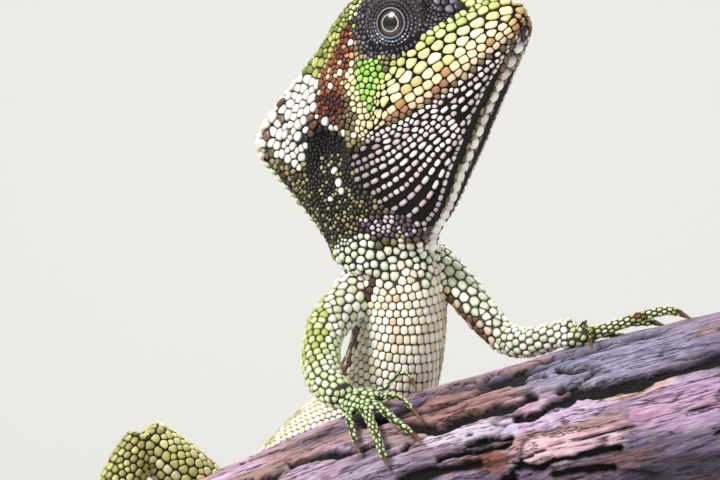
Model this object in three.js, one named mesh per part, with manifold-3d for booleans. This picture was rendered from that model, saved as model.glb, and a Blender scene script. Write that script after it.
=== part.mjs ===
// A helmeted basilisk, life size, holding on to a sloping length of branch and looking over it.
// Lengths are millimetres, +Z is up. The animal faces -Y, and the origin is the middle of the
// underside of the display base. The branch, cut short, stands on two thin rods.
import * as THREE from "three";
import { mergeVertices } from "three/addons/utils/BufferGeometryUtils.js";
import Module from "manifold-3d";

const wasm = await Module();
wasm.setup();

// Driving sizes. Every place on the animal is measured from EYE_LEVEL_ZERO, a point just above
// the chest, whose height over the floor leaves room for the hanging tail.
const GAP = 0.3;
const EYE_LEVEL_ZERO = 136;
const BASE = { length: 124, depth: 84, thickness: 9, corner: 12, bevel: 1 };
const ROD_RADIUS = 2.2;
const ROD_PLACES = [-44, 37];
const BRANCH_RADIUS = 13;

// Colours of the plain materials.
const COLOUR = {
  skin: 0x8f9a62, throat: 0x4a3a3c, belly: 0xd9d3b8, hand: 0x9fbf78, eye: 0x17110f,
  bark: 0x8d6f72, base: 0x2b2724, rod: 0xb08d57,
};

const solids = new Map();

// Basic shapes

// Smooth curve through rows of numbers, t from 0 at the first row to 1 at the last.
function along(rows, t) {
  const place = Math.min(Math.max(t, 0), 1) * (rows.length - 1);
  const i = Math.min(Math.floor(place), rows.length - 2);
  const u = place - i;
  const [a, b] = [rows[Math.max(i - 1, 0)], rows[i]];
  const [c, d] = [rows[i + 1], rows[Math.min(i + 2, rows.length - 1)]];
  return b.map((v, k) => 0.5 * (2 * v + (c[k] - a[k]) * u
    + (2 * a[k] - 5 * v + 4 * c[k] - d[k]) * u * u
    + (3 * v - a[k] - 3 * c[k] + d[k]) * u * u * u));
}

const point = (x, y, z) => new THREE.Vector3(x, y, z);
const spot = (row) => point(row[0], row[1], row[2]);

// A closed mesh becomes a solid; one whose faces point inwards is turned round first.
function solidOf(geometry) {
  const bare = geometry.clone();
  bare.deleteAttribute("normal");
  bare.deleteAttribute("uv");
  const merged = mergeVertices(bare, 1e-4);
  const triVerts = new Uint32Array(merged.index.array);
  const vertProperties = merged.attributes.position.array;
  const made = new wasm.Manifold(new wasm.Mesh({ numProp: 3, vertProperties, triVerts }));
  if (made.volume() > 0) return made;
  for (let i = 0; i < triVerts.length; i += 3) {
    [triVerts[i + 1], triVerts[i + 2]] = [triVerts[i + 2], triVerts[i + 1]];
  }
  return new wasm.Manifold(new wasm.Mesh({ numProp: 3, vertProperties, triVerts }));
}

// A sphere's grid of points, each row at its own place along a body and scaled by its own share.
function loft(rows, sides, place) {
  const geometry = new THREE.SphereGeometry(1, sides, rows.length - 1);
  const position = geometry.attributes.position;
  for (let i = 0; i < position.count; i++) {
    const [t, share] = rows[Math.floor(i / (sides + 1))];
    const angle = ((i % (sides + 1)) % sides) / sides * 2 * Math.PI;
    const p = place(t, angle, share);
    position.setXYZ(i, p.x, p.y, p.z);
  }
  return solidOf(geometry);
}

// Rows with rounded ends, or flat ends where the body is cut.
function roundRows(count, first = 0.012, last = 0.012) {
  const rows = [[0, 0], [first * 0.25, 0.62], [first, 0.9]];
  for (let i = 1; i < count; i++) rows.push([i / count, 1]);
  rows.push([1 - last, 0.9], [1 - last * 0.25, 0.62], [1, 0]);
  return rows;
}

function flatRows(count) {
  const rows = [[0, 0]];
  for (let i = 0; i <= count; i++) rows.push([i / count, 1]);
  rows.push([1, 0]);
  return rows;
}

function tangentAt(rows, t) {
  const step = 0.01;
  return spot(along(rows, t + step)).sub(spot(along(rows, t - step))).normalize();
}

// A limb, finger or tail: rows of x, y, z, radius, round in section.
function limb(rows, count, sides, grow = 0, ends = roundRows) {
  const place = (t, angle, share) => {
    const row = along(rows, t);
    const ahead = tangentAt(rows, t);
    const side = point(0.31, 0.9, 0.2).cross(ahead).normalize();
    const up = ahead.clone().cross(side);
    const radius = (row[3] + grow) * share;
    return spot(row).addScaledVector(side, radius * Math.cos(angle))
      .addScaledVector(up, radius * Math.sin(angle));
  };
  return loft(ends(count), sides, place);
}

const fuse = (pieces) => pieces.reduce((whole, piece) => whole.add(piece));

function ball(centre, x, y, z, sides = 14) {
  return solidOf(new THREE.SphereGeometry(1, sides, sides * 0.75)
    .scale(x, y, z).translate(centre.x, centre.y, centre.z));
}

// A shape made along +Y is turned to a direction and moved to a place.
function aimed(geometry, centre, direction) {
  const turn = new THREE.Quaternion().setFromUnitVectors(point(0, 1, 0), direction.clone().normalize());
  return geometry.applyQuaternion(turn).translate(centre.x, centre.y, centre.z);
}

function disc(centre, normal, radius) {
  return solidOf(aimed(new THREE.CylinderGeometry(radius, radius, GAP, 12), centre, normal));
}

// A wavy knife across the head: a strip along x, z points, as wide as the gap, right through.
const KNIFE_REACH = 60;

function knife(line) {
  const curve = new THREE.SplineCurve(line.map(([x, z]) => new THREE.Vector2(x, z)));
  const points = curve.getPoints(line.length * 2);
  const edge = (sign) => points.map((p, i) => {
    const q = points[Math.min(i + 1, points.length - 1)].clone().sub(points[Math.max(i - 1, 0)]);
    q.normalize();
    return new THREE.Vector2(p.x - q.y * sign * GAP / 2, p.y + q.x * sign * GAP / 2);
  });
  const shape = new THREE.Shape([...edge(1), ...edge(-1).reverse()]);
  const strip = new THREE.ExtrudeGeometry(shape, { depth: KNIFE_REACH, bevelEnabled: false });
  return solidOf(strip.rotateX(Math.PI / 2).translate(0, KNIFE_REACH / 2 + HEAD_MIDDLE_Y, 0));
}

// The piece of a cut solid whose surface passes nearest to a marker.
function pieceAt(pieces, marker) {
  const distance = (piece) => {
    const { vertProperties, numProp } = piece.getMesh();
    let least = Infinity;
    for (let i = 0; i < vertProperties.length; i += numProp) {
      const p = point(vertProperties[i], vertProperties[i + 1], vertProperties[i + 2]);
      least = Math.min(least, p.distanceTo(marker));
    }
    return least;
  };
  const large = pieces.filter((piece) => piece.volume() > 1);
  return large.reduce((best, piece) => (distance(piece) < distance(best) ? piece : best));
}

const largest = (solid) => solid.decompose().reduce((a, b) => (b.volume() > a.volume() ? b : a));

// The branch, a crooked round limb: rows of x and z of its middle line.
const BRANCH = [[-64, -68.5], [-50, -60.5], [-36, -53], [-22, -46], [-8, -39.6], [5.3, -34.4],
  [18.7, -30.6], [32, -26.8], [48, -22.6], [66, -18]];

function branchAt(x) {
  let [low, high] = [0, 1];
  for (let i = 0; i < 30; i++) {
    const middle = (low + high) / 2;
    if (along(BRANCH, middle)[0] < x) low = middle;
    else high = middle;
  }
  const [cx, cz] = along(BRANCH, low);
  const [ax, az] = along(BRANCH, low + 0.01);
  const [bx, bz] = along(BRANCH, low - 0.01);
  const ahead = point(ax - bx, 0, az - bz).normalize();
  return { middle: point(cx, 0, cz), ahead, up: point(-ahead.z, 0, ahead.x) };
}

// A place on the bark at a given x: angle 0 faces the viewer, 90 is the upper edge and 180 the
// far side. The upper edge of a sloping branch lies to the left of its middle line.
function onBranch(x, angle, lift) {
  const turn = THREE.MathUtils.degToRad(angle);
  const radius = BRANCH_RADIUS + lift;
  let start = x;
  for (let i = 0; i < 4; i++) start = x - branchAt(start).up.x * radius * Math.sin(turn);
  const { middle, up, ahead } = branchAt(start);
  const place = middle.clone().addScaledVector(point(0, -1, 0), radius * Math.cos(turn))
    .addScaledVector(up, radius * Math.sin(turn));
  return { place, ahead, out: place.clone().sub(middle).normalize() };
}

const KNOT = { count: 3, share: 0.025, phase: 1.1 };

function branchSolid(grow) {
  const place = (t, angle, share) => {
    const x = along(BRANCH, t)[0];
    const { middle, up } = branchAt(x);
    const wave = 1 + KNOT.share * Math.sin(KNOT.count * angle + KNOT.phase + x / 19) * (grow ? 1 : 0.9);
    const radius = (BRANCH_RADIUS * wave + grow) * share;
    return middle.addScaledVector(point(0, -1, 0), radius * Math.cos(angle))
      .addScaledVector(up, radius * Math.sin(angle));
  };
  return loft(flatRows(16), 22, place);
}

const branch = branchSolid(0);
const branchRoom = branchSolid(GAP);

// The torso, flat-sided, with a ridged back: x, y, z, half width, back and belly depths.
const TORSO = [
  [4.0, 12.0, 1.5, 3.6, 4.2, 4.4],
  [4.8, 13.2, -2.5, 6.0, 7.2, 6.6],
  [5.4, 14.4, -7.5, 6.5, 8.6, 7.6],
  [5.3, 15.6, -13, 6.5, 9.4, 8.4],
  [4.0, 17.4, -19, 6.9, 9.8, 9.4],
  [0.6, 19.8, -25.5, 8.0, 10.2, 10.2],
  [-5.6, 22.2, -32.5, 8.5, 10.0, 10.0],
  [-13, 24.0, -39.5, 7.4, 8.6, 8.6],
  [-20, 25.2, -46, 5.4, 6.2, 6.2],
  [-26, 26.0, -52, 3.8, 4.2, 4.2],
];

function torsoFrame(t) {
  const ahead = tangentAt(TORSO, t);
  const back = point(0, 1, 0).addScaledVector(ahead, -ahead.y).normalize();
  return { ahead, back, side: ahead.clone().cross(back) };
}

function torsoPoint(t, angle, share, grow) {
  const row = along(TORSO, t);
  const { back, side } = torsoFrame(t);
  const [c, s] = [Math.cos(angle), Math.sin(angle)];
  const depth = (c > 0 ? row[4] : row[5]) + grow;
  const roof = 1 - 0.3 * Math.max(0, c) ** 2;
  return spot(row).addScaledVector(back, depth * c * share)
    .addScaledVector(side, (row[3] + grow) * s * roof * share);
}

const torsoSolid = (grow) => loft(roundRows(18, 0.05, 0.03), 22,
  (t, angle, share) => torsoPoint(t, angle, share, grow));

// Low pointed scales in one row, each a flattened cone with its root sunk in.
const SCALE_SIDES = 5;

function pointedScales(places) {
  return places.map(({ at, out, run, width, height }) => {
    const cone = new THREE.ConeGeometry(1, height * 1.9, SCALE_SIDES).scale(width * 0.34, 1, width * 0.5);
    const across = run.clone().addScaledVector(out, -run.dot(out)).normalize();
    const turn = new THREE.Matrix4().makeBasis(out.clone().cross(across), out, across);
    return solidOf(cone.applyMatrix4(turn).translate(at.x, at.y, at.z));
  });
}

const BACK_CREST = { count: 26, from: 0.1, to: 0.93, width: 1.9, height: 0.9 };

function backCrest() {
  const places = [];
  for (let i = 0; i < BACK_CREST.count; i++) {
    const t = BACK_CREST.from + (BACK_CREST.to - BACK_CREST.from) * i / (BACK_CREST.count - 1);
    const { ahead, back } = torsoFrame(t);
    places.push({ at: torsoPoint(t, 0, 1, -0.2), out: back, run: ahead,
      width: BACK_CREST.width, height: BACK_CREST.height * (1 - 0.4 * t) });
  }
  return pointedScales(places);
}

// The head and neck, one smooth form. Each row holds two points on the middle plane, on the
// crown and on the throat, as x and z, then half widths from crown to throat, then the turn
// towards the chest.
const HEAD = [
  [22.2, 29.8, 22.2, 29.6, 0.2, 0.2, 0.2, 0.2, 0.2, 0],
  [21.5, 31.2, 21.8, 27.4, 1.9, 2.6, 3.0, 3.1, 3.1, 0],
  [18.9, 32.4, 20.3, 24.3, 2.8, 3.5, 4.0, 4.3, 4.6, 0],
  [15.0, 33.3, 18.9, 21.6, 3.6, 4.3, 4.9, 5.3, 5.7, 0],
  [10.7, 34.4, 17.8, 19.2, 4.6, 5.0, 5.8, 6.0, 6.3, 0],
  [6.0, 35.0, 16.7, 16.8, 5.4, 5.6, 6.6, 6.5, 6.6, 0],
  [1.6, 33.8, 15.7, 14.2, 5.6, 6.0, 7.2, 6.7, 6.6, 0],
  [-2.0, 30.4, 14.6, 11.5, 5.2, 6.3, 7.4, 6.6, 6.5, 0],
  [-5.1, 25.8, 13.6, 9.2, 4.0, 6.1, 7.4, 6.3, 6.2, 0],
  [-8.2, 22.0, 12.8, 7.0, 2.8, 5.2, 6.7, 5.9, 5.7, 0],
  [-11.2, 18.2, 12.0, 4.9, 2.0, 4.6, 5.4, 5.4, 5.0, 0],
  [-13.5, 14.8, 11.1, 3.1, 1.5, 3.9, 4.1, 5.1, 4.6, 0],
  [-13.4, 11.6, 10.2, 1.6, 1.3, 3.4, 3.8, 4.9, 4.2, 0.1],
  [-10.4, 8.0, 9.7, 0.2, 1.4, 3.4, 4.2, 5.0, 4.4, 0.3],
  [-7.0, 3.8, 9.8, -1.2, 2.0, 4.0, 5.0, 5.4, 4.8, 0.6],
  [-4.2, 0, 10.4, -2.8, 3.2, 5.0, 5.9, 6.0, 5.2, 0.9],
  [-2.4, -4.2, 10.8, -6.4, 4.0, 5.6, 6.2, 6.2, 5.4, 1],
];
const HEAD_LEVELS = [0.06, 0.22, 0.42, 0.62, 0.86];
const HEAD_TURN = THREE.MathUtils.degToRad(25);
const HEAD_MIDDLE_X = 4;
const HEAD_MIDDLE_Y = 8;
const NECK_MIDDLE_Y = 12.5;
const HEAD_FULLNESS = [0.45, 0.2];
const NEAR = point(-Math.sin(HEAD_TURN), -Math.cos(HEAD_TURN), 0);

// The half width of a head row at a share of the way from crown to throat.
function headWidth(row, s) {
  const levels = [0, ...HEAD_LEVELS, 1];
  const widths = [row[4], ...row.slice(4, 9), row[8]];
  const i = levels.findIndex((level, k) => k > 0 && s <= level);
  const u = (s - levels[i - 1]) / (levels[i] - levels[i - 1]);
  const ease = u * u * (3 - 2 * u);
  return widths[i - 1] + (widths[i] - widths[i - 1]) * (0.5 * u + 0.5 * ease);
}

// side is 1 towards the viewer and -1 away; s runs from the crown to the throat.
function headPoint(t, s, side, share = 1, grow = 0) {
  const row = along(HEAD, t);
  const x = row[0] + (row[2] - row[0]) * s;
  const z = row[1] + (row[3] - row[1]) * s;
  const headY = HEAD_MIDDLE_Y - (x - HEAD_MIDDLE_X) * Math.tan(HEAD_TURN);
  const middle = point(x, headY + (NECK_MIDDLE_Y - headY) * row[9], z);
  const fullness = HEAD_FULLNESS[0] + (HEAD_FULLNESS[1] - HEAD_FULLNESS[0]) * s;
  const round = (2 * Math.sqrt(Math.max(s * (1 - s), 0))) ** fullness;
  const half = (headWidth(row, s) + grow) * round;
  const centre = spotBetween(row, share, middle);
  return centre.addScaledVector(NEAR, side * half * share);
}

// Rows that close to a point draw in towards the middle of their section.
function spotBetween(row, share, middle) {
  const centre = point((row[0] + row[2]) / 2, middle.y, (row[1] + row[3]) / 2);
  return centre.lerp(middle, share);
}

function headSolid(grow) {
  const place = (t, angle, share) => {
    const s = (1 - Math.cos(angle)) / 2;
    return headPoint(t, s, Math.sin(angle) >= 0 ? 1 : -1, share, grow);
  };
  return loft(roundRows(28, 0.012, 0.02), 24, place);
}

// The place on the near side of the head that shows at x and z, as its t and s.
function headSpot(x, z) {
  let best = { miss: Infinity };
  for (let t = 0.02; t < 0.98; t += 0.005) {
    for (let s = 0.02; s < 0.98; s += 0.01) {
      const p = headPoint(t, s, 1);
      const miss = Math.hypot(p.x - x, p.z - z);
      if (miss < best.miss) best = { miss, t, s };
    }
  }
  return best;
}

// Eyes: a ball set in a raised socket, with a thick lid and an outer fold round it.
const EYE = { x: 4.5, z: 28.9, radius: 3.5, sunk: 2.2, lidRing: 3.3, lidTube: 0.55, foldRing: 4.3,
  foldTube: 0.55, mound: 5.3, moundDepth: 2.6 };
const EYE_SPOT = headSpot(EYE.x, EYE.z);

function eyeCentre(side) {
  return headPoint(EYE_SPOT.t, EYE_SPOT.s, side).addScaledVector(NEAR, -EYE.sunk * side);
}

function ringRound(centre, normal, radius, tube) {
  const ring = new THREE.TorusGeometry(radius, tube, 5, 15).rotateX(Math.PI / 2);
  return solidOf(aimed(ring, centre, normal));
}

function orbit(side) {
  const out = NEAR.clone().multiplyScalar(side);
  const centre = eyeCentre(side);
  const mound = new THREE.SphereGeometry(1, 14, 6).scale(EYE.mound, EYE.moundDepth, EYE.mound);
  return [
    solidOf(aimed(mound, centre, out)),
    ringRound(centre.clone().addScaledVector(out, 1.95), out, EYE.lidRing, EYE.lidTube),
    ringRound(centre.clone().addScaledVector(out, 1.6), out, EYE.foldRing, EYE.foldTube),
  ];
}

// Pits: nostril and ear hollow, on both sides.
const NOSTRIL = { x: 14.4, z: 30.8, radius: 0.75, depth: 0.5 };
const EAR = { x: -4.8, z: 12.4, wide: 2.3, tall: 3.3, depth: 1.3 };

function pit({ x, z, wide, tall, depth }, side) {
  const { t, s } = headSpot(x, z);
  const turn = new THREE.Matrix4().makeRotationZ(-HEAD_TURN);
  const hollow = new THREE.SphereGeometry(1, 12, 8).scale(wide, depth, tall).applyMatrix4(turn);
  const place = headPoint(t, s, side);
  return solidOf(hollow.translate(place.x, place.y, place.z));
}

// The lips: a slim raised edge above and below the mouth, each side.
const JAW_ANGLE = [1.4, 14.6];
const MOUTH = [[26, 29.7], [22, 30.1], [20.4, 30.3], [18.6, 29.8], [15.5, 28.2], [11.5, 26.0], [8, 23.9],
  [5, 21.6], [2.6, 18.4], JAW_ANGLE];
const LIP = { radius: 0.42, offset: 0.42, from: 3, to: 7 };

function lips() {
  const made = [];
  for (const side of [1, -1]) {
    for (const above of [1, -1]) {
      const rows = MOUTH.slice(LIP.from, LIP.to + 1).map(([x, z]) => {
        const { t, s } = headSpot(x - above * LIP.offset * 0.48, z + above * LIP.offset * 0.88);
        const p = headPoint(t, s, side);
        return [p.x, p.y, p.z, LIP.radius];
      });
      made.push(limb(rows, 8, 5));
    }
  }
  return made;
}

// Rows of raised scales on the rim of the casque, the nape and the keel of the throat.
const CASQUE_RIM = { count: 9, from: 0.55, to: 0.735, width: 2.3, height: 1.1 };
const NAPE_CREST = { count: 8, from: 0.765, to: 0.94, width: 1.5, height: 0.7 };
const THROAT_KEEL = { count: 15, from: 0.13, to: 0.78, width: 1.5, height: 0.6 };

function headRow({ count, from, to, width, height }, s) {
  const places = [];
  const edge = s < 0.5 ? 0 : 1;
  for (let i = 0; i < count; i++) {
    const t = from + (to - from) * i / (count - 1);
    const at = headPoint(t, edge, 1);
    const run = headPoint(t + 0.01, edge, 1).sub(headPoint(t - 0.01, edge, 1)).normalize();
    const out = at.clone().sub(headPoint(t, 0.5, 1));
    out.y = 0;
    out.addScaledVector(run, -run.dot(out)).normalize();
    places.push({ at: at.addScaledVector(out, -0.1), out, run, width, height });
  }
  return pointedScales(places);
}

// Cuts through the head and neck, as x and z: mouth, jaw against throat, head and throat
// against neck.
const JAW_CUT = [[26, 27], [21, 26], [18.2, 24.2], [14.6, 21.6], [10.6, 19.2], [6, 16.6], JAW_ANGLE];
const NECK_CUT = [JAW_ANGLE, [-2, 14.8], [-6, 14.2], [-10, 12.4], [-14, 11.6], [-19, 11.4]];
const THROAT_CUT = [JAW_ANGLE, [-0.5, 10.5], [-1.6, 6], [-1.2, 2.4], [1.5, 0.9], [5.5, 0.4],
  [10, 0.3], [16, 0.6]];

const torsoRoom = torsoSolid(GAP);
const wholeHead = fuse([
  headSolid(0), ...orbit(1), ...orbit(-1), ...lips(),
  ...headRow(CASQUE_RIM, 0), ...headRow(NAPE_CREST, 0), ...headRow(THROAT_KEEL, 1),
]);
const hollows = fuse([1, -1].flatMap((side) => [
  ball(eyeCentre(side), EYE.radius + GAP, EYE.radius + GAP, EYE.radius + GAP, 14),
  pit({ ...NOSTRIL, wide: NOSTRIL.radius, tall: NOSTRIL.radius }, side),
  pit(EAR, side),
]));
const headPieces = wholeHead.subtract(hollows).subtract(torsoRoom)
  .subtract(fuse([MOUTH, JAW_CUT, NECK_CUT, THROAT_CUT].map(knife))).decompose();

solids.set("head", [pieceAt(headPieces, headPoint(0.36, 0, 1)), "skin"]);
solids.set("lower_jaw", [pieceAt(headPieces, point(12, 0, 23)), "skin"]);
solids.set("throat_pouch", [pieceAt(headPieces, headPoint(0.42, 1, 1)), "throat"]);
solids.set("neck", [pieceAt(headPieces, headPoint(0.87, 0, 1)), "skin"]);
for (const [name, side] of [["eye_right", 1], ["eye_left", -1]]) {
  solids.set(name, [ball(eyeCentre(side), EYE.radius, EYE.radius, EYE.radius, 14), "eye"]);
}

// The tail, in five lengths: x, y, z, radius.
const TAIL = [
  [-21, 25.4, -47, 4.6], [-26.5, 26, -52.4, 3.8], [-36, 26.8, -62, 3.2], [-45, 26.4, -76, 2.9],
  [-46.5, 25, -93, 2.6], [-37.5, 23.4, -108, 2.3], [-21, 22.4, -116, 2.0], [-1, 22, -116.4, 1.75],
  [18, 22.8, -110.5, 1.5], [36, 24.2, -105.5, 1.25], [54, 26, -106.5, 1.0], [70, 27.5, -112, 0.75],
  [82, 28, -119, 0.45],
];
const TAIL_CUTS = [0.24, 0.43, 0.62, 0.8];

const tailWhole = limb(TAIL, 54, 10).subtract(torsoRoom);
const tailPieces = tailWhole.subtract(fuse(TAIL_CUTS.map((t) =>
  disc(spot(along(TAIL, t)), tangentAt(TAIL, t), 5)))).decompose();
[0.16, 0.34, 0.52, 0.7, 0.9].forEach((t, i) => {
  solids.set(`tail_${i + 1}`, [pieceAt(tailPieces, spot(along(TAIL, t))), "skin"]);
});

// The torso in a front and a rear length, and its crest of low pointed scales.
const WAIST = 0.5;
const torsoPieces = fuse([torsoSolid(0), ...backCrest()]).subtract(branchRoom)
  .subtract(disc(spot(along(TORSO, WAIST)), tangentAt(TORSO, WAIST), 20)).decompose();
solids.set("torso_front", [pieceAt(torsoPieces, torsoPoint(0.25, 0, 1, 0)), "belly"]);
solids.set("torso_rear", [pieceAt(torsoPieces, torsoPoint(0.75, 0, 1, 0)), "skin"]);

// Fingers and toes: each a slim tube along places on the bark, ending in a hooked claw.
const CLAW = { length: 2.1, radius: 0.42, hook: 0.42 };

function clawAt(end, ahead, down) {
  const along3 = (far, low) => end.clone().addScaledVector(ahead, far).addScaledVector(down, low);
  const places = [along3(-0.8, 0), along3(0.4, 0), along3(CLAW.length * 0.65, CLAW.length * 0.08),
    along3(CLAW.length, CLAW.length * CLAW.hook)];
  const radii = [CLAW.radius, CLAW.radius, CLAW.radius * 0.66, 0.12];
  return limb(places.map((p, i) => [p.x, p.y, p.z, radii[i]]), 3, 4, 0, flatRows);
}

// A digit runs from the palm over its places, given as x, angle and height over the bark.
function digit(palm, places, radius) {
  const points = places.map(([x, angle, lift]) => onBranch(x, angle, lift + radius * 0.7));
  const last = points[points.length - 1];
  const ahead = last.place.clone().sub(points[points.length - 2].place).normalize();
  const rows = [palm, ...points.map(({ place }) => place)].map((p, i, all) => [p.x, p.y, p.z,
    radius * (i === 0 ? 1.15 : 1.05 - 0.3 * i / (all.length - 1))]);
  return [limb(rows, 4, 6, 0, flatRows), clawAt(last.place, ahead, last.out.clone().negate())];
}

// Limbs. The upper length runs from shoulder or hip to elbow or knee, the lower one from there
// to wrist or ankle: rows of x, y, z, radius. Then the palm or sole and five digits.
const LIMBS = {
  arm_right: {
    names: ["upper_arm_right", "forearm_right", "hand_right"],
    upper: [[1.4, 14, -4.8, 3.4], [-1.7, 10.2, -8.4, 3.0], [-4.4, 6.8, -11.6, 2.8], [-5.1, 5.2, -13.8, 2.6]],
    lower: [[-5.1, 5.2, -13.4, 2.6], [-5.2, 2.8, -16.6, 2.65], [-4.5, 0.2, -19.0, 2.5],
      [-2.2, -2.4, -20.8, 2.1]],
    palm: { at: [0.1, 78, 1.3], size: [3.0, 2.3, 1.7] },
    digits: [
      { radius: 0.8, places: [[-1.4, 68, 0.5], [-1.1, 54, 0.4], [-0.5, 43, 0.1]] },
      { radius: 0.9, places: [[0.9, 61, 0.6], [2.2, 41, 0.4], [3.2, 27, 0.1]] },
      { radius: 0.82, places: [[2.4, 64, 0.6], [4.5, 49, 0.4], [7.1, 36, 0.1]] },
      { radius: 0.7, places: [[3.1, 78, 0.5], [5.3, 68, 0.5], [7.1, 54, 0.1]] },
      { radius: 0.58, places: [[3.3, 89, 1.1], [4.7, 90, 2.2], [6.0, 88, 2.4], [7.0, 82, 1.2]] },
    ],
  },
  arm_left: {
    names: ["upper_arm_left", "forearm_left", "hand_left"],
    upper: [[9.0, 15.4, -2.4, 3.2], [13.4, 13.2, -6.3, 2.6], [17.3, 10.6, -11, 2.35], [19.4, 9.4, -13.2, 2.1]],
    lower: [[18.9, 9.6, -13.0, 2.2], [21.8, 6.6, -13.9, 2.15], [25.0, 3.6, -13.2, 1.95],
      [28.6, 0.6, -11.8, 1.6]],
    palm: { at: [29.2, 92, 1.0], size: [2.9, 2.2, 1.4] },
    digits: [
      { radius: 0.6, places: [[29.4, 88, 2.0], [30.0, 84, 2.6], [30.5, 76, 0.3]] },
      { radius: 0.74, places: [[32, 104, 0.5], [34.6, 112, 0.4], [37, 118, 0.1]] },
      { radius: 0.86, places: [[33, 97, 0.6], [36.4, 100, 0.7], [39.6, 103, 0.1]] },
      { radius: 0.98, places: [[33, 88, 0.6], [36.6, 88, 0.9], [40.4, 88, 1.0], [42.8, 86, 0.1]] },
      { radius: 0.7, places: [[30, 112, 0.5], [31, 126, 0.4], [32, 138, 0.1]] },
    ],
  },
  leg_right: {
    names: ["thigh_right", "shank_right", "foot_right"],
    upper: [[-13, 22.5, -43, 4.4], [-20.5, 18.8, -36, 4.3], [-26, 16.4, -30.2, 3.7], [-29.6, 15, -26.9, 2.9]],
    lower: [[-29.2, 15, -27.4, 2.9], [-31.8, 13.8, -31.4, 3.0], [-34.6, 12.6, -36, 2.6],
      [-39.8, 8.9, -41.7, 1.65]],
    palm: { at: [-42.6, 122, 1.4], size: [4.2, 2.0, 1.7] },
    digits: [
      { radius: 0.62, places: [[-43.6, 102, 0.5], [-42.6, 90, 0.3], [-42.2, 80, 0.1]] },
      { radius: 0.68, places: [[-45.6, 102, 0.5], [-45.8, 86, 0.4], [-46, 70, 0.1]] },
      { radius: 0.72, places: [[-46.8, 104, 0.5], [-48.8, 86, 0.4], [-50.6, 66, 0.1]] },
      { radius: 0.76, places: [[-47.4, 108, 0.5], [-51, 92, 0.4], [-54.4, 76, 0.3], [-57, 64, 0.1]] },
      { radius: 0.66, places: [[-46.8, 116, 0.5], [-50, 114, 0.4], [-52.8, 112, 0.1]] },
    ],
  },
  leg_left: {
    names: ["thigh_left", "shank_left", "foot_left"],
    upper: [[-12.2, 24.6, -44.6, 4.4], [-7, 26.6, -49, 4.2], [-1.4, 28.8, -53.6, 3.6], [2.6, 29.6, -56, 2.9]],
    lower: [[2.2, 29.2, -56, 2.8], [1.4, 25, -55, 2.8], [-1, 20.6, -52.4, 2.4], [-4.6, 12.8, -48.9, 1.7]],
    palm: { at: [-5, 222, 1.4], size: [4.0, 2.1, 1.8] },
    digits: [
      { radius: 0.62, places: [[-8, 230, 0.5], [-10, 234, 0.3], [-11.8, 237, 0.1]] },
      { radius: 0.68, places: [[-7, 240, 0.5], [-8.2, 252, 0.4], [-9, 264, 0.1]] },
      { radius: 0.72, places: [[-5, 242, 0.5], [-4.4, 260, 0.4], [-4, 278, 0.1]] },
      { radius: 0.76, places: [[-3, 242, 0.5], [-0.8, 260, 0.4], [0.8, 280, 0.3], [1.6, 294, 0.1]] },
      { radius: 0.66, places: [[-1.8, 232, 0.5], [1.2, 240, 0.4], [3.8, 248, 0.1]] },
    ],
  },
};

function palmSolid({ at, size }) {
  const { place, ahead, out } = onBranch(...at);
  const turn = new THREE.Matrix4().makeBasis(ahead, out.clone().cross(ahead), out);
  const flat = new THREE.SphereGeometry(1, 10, 7).scale(...size).applyMatrix4(turn);
  return solidOf(flat.translate(place.x, place.y, place.z));
}

// Each length stops a gap short of the one it grows from, and of the torso and the bark.
const trunkRoom = fuse([torsoRoom, branchRoom, headSolid(GAP * 1.3)]);
for (const { names, upper, lower, palm, digits } of Object.values(LIMBS)) {
  const heart = onBranch(...palm.at).place;
  const upperRoom = fuse([trunkRoom, limb(upper, 6, 10, GAP)]);
  const lowerRoom = fuse([upperRoom, limb(lower, 6, 10, GAP)]);
  const hand = fuse([palmSolid(palm),
    ...digits.flatMap(({ radius, places }) => digit(heart, places, radius))]);
  const lengths = [limb(upper, 6, 10).subtract(trunkRoom), limb(lower, 6, 10).subtract(upperRoom),
    hand.subtract(lowerRoom)];
  names.forEach((name, i) => solids.set(name, [largest(lengths[i]), i === 2 ? "hand" : "skin"]));
}

solids.set("perch_branch", [branch, "bark"]);

// The display stand: a flat base with rounded corners and two rods up to the branch.
function baseSolid() {
  const { length, depth, thickness, corner, bevel } = BASE;
  const [x, y] = [length / 2 - bevel, depth / 2 - bevel];
  const outline = new THREE.Shape();
  outline.moveTo(-x + corner, -y);
  outline.lineTo(x - corner, -y).absarc(x - corner, -y + corner, corner, -Math.PI / 2, 0);
  outline.lineTo(x, y - corner).absarc(x - corner, y - corner, corner, 0, Math.PI / 2);
  outline.lineTo(-x + corner, y).absarc(-x + corner, y - corner, corner, Math.PI / 2, Math.PI);
  outline.lineTo(-x, -y + corner).absarc(-x + corner, -y + corner, corner, Math.PI, 1.5 * Math.PI);
  const slab = new THREE.ExtrudeGeometry(outline, { depth: thickness - 2 * bevel, curveSegments: 4,
    bevelThickness: bevel, bevelSize: bevel, bevelSegments: 1 });
  return solidOf(slab.translate(0, 0, bevel - EYE_LEVEL_ZERO));
}

solids.set("stand_base", [baseSolid(), "base"]);
ROD_PLACES.forEach((x, i) => {
  const foot = BASE.thickness + GAP - EYE_LEVEL_ZERO;
  const height = branchAt(x).middle.z - foot;
  const rod = new THREE.CylinderGeometry(ROD_RADIUS, ROD_RADIUS, height, 14).rotateX(Math.PI / 2);
  const whole = solidOf(rod.translate(x, 0, foot + height / 2));
  solids.set(`stand_rod_${i + 1}`, [largest(whole.subtract(branchRoom)), "rod"]);
});

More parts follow.
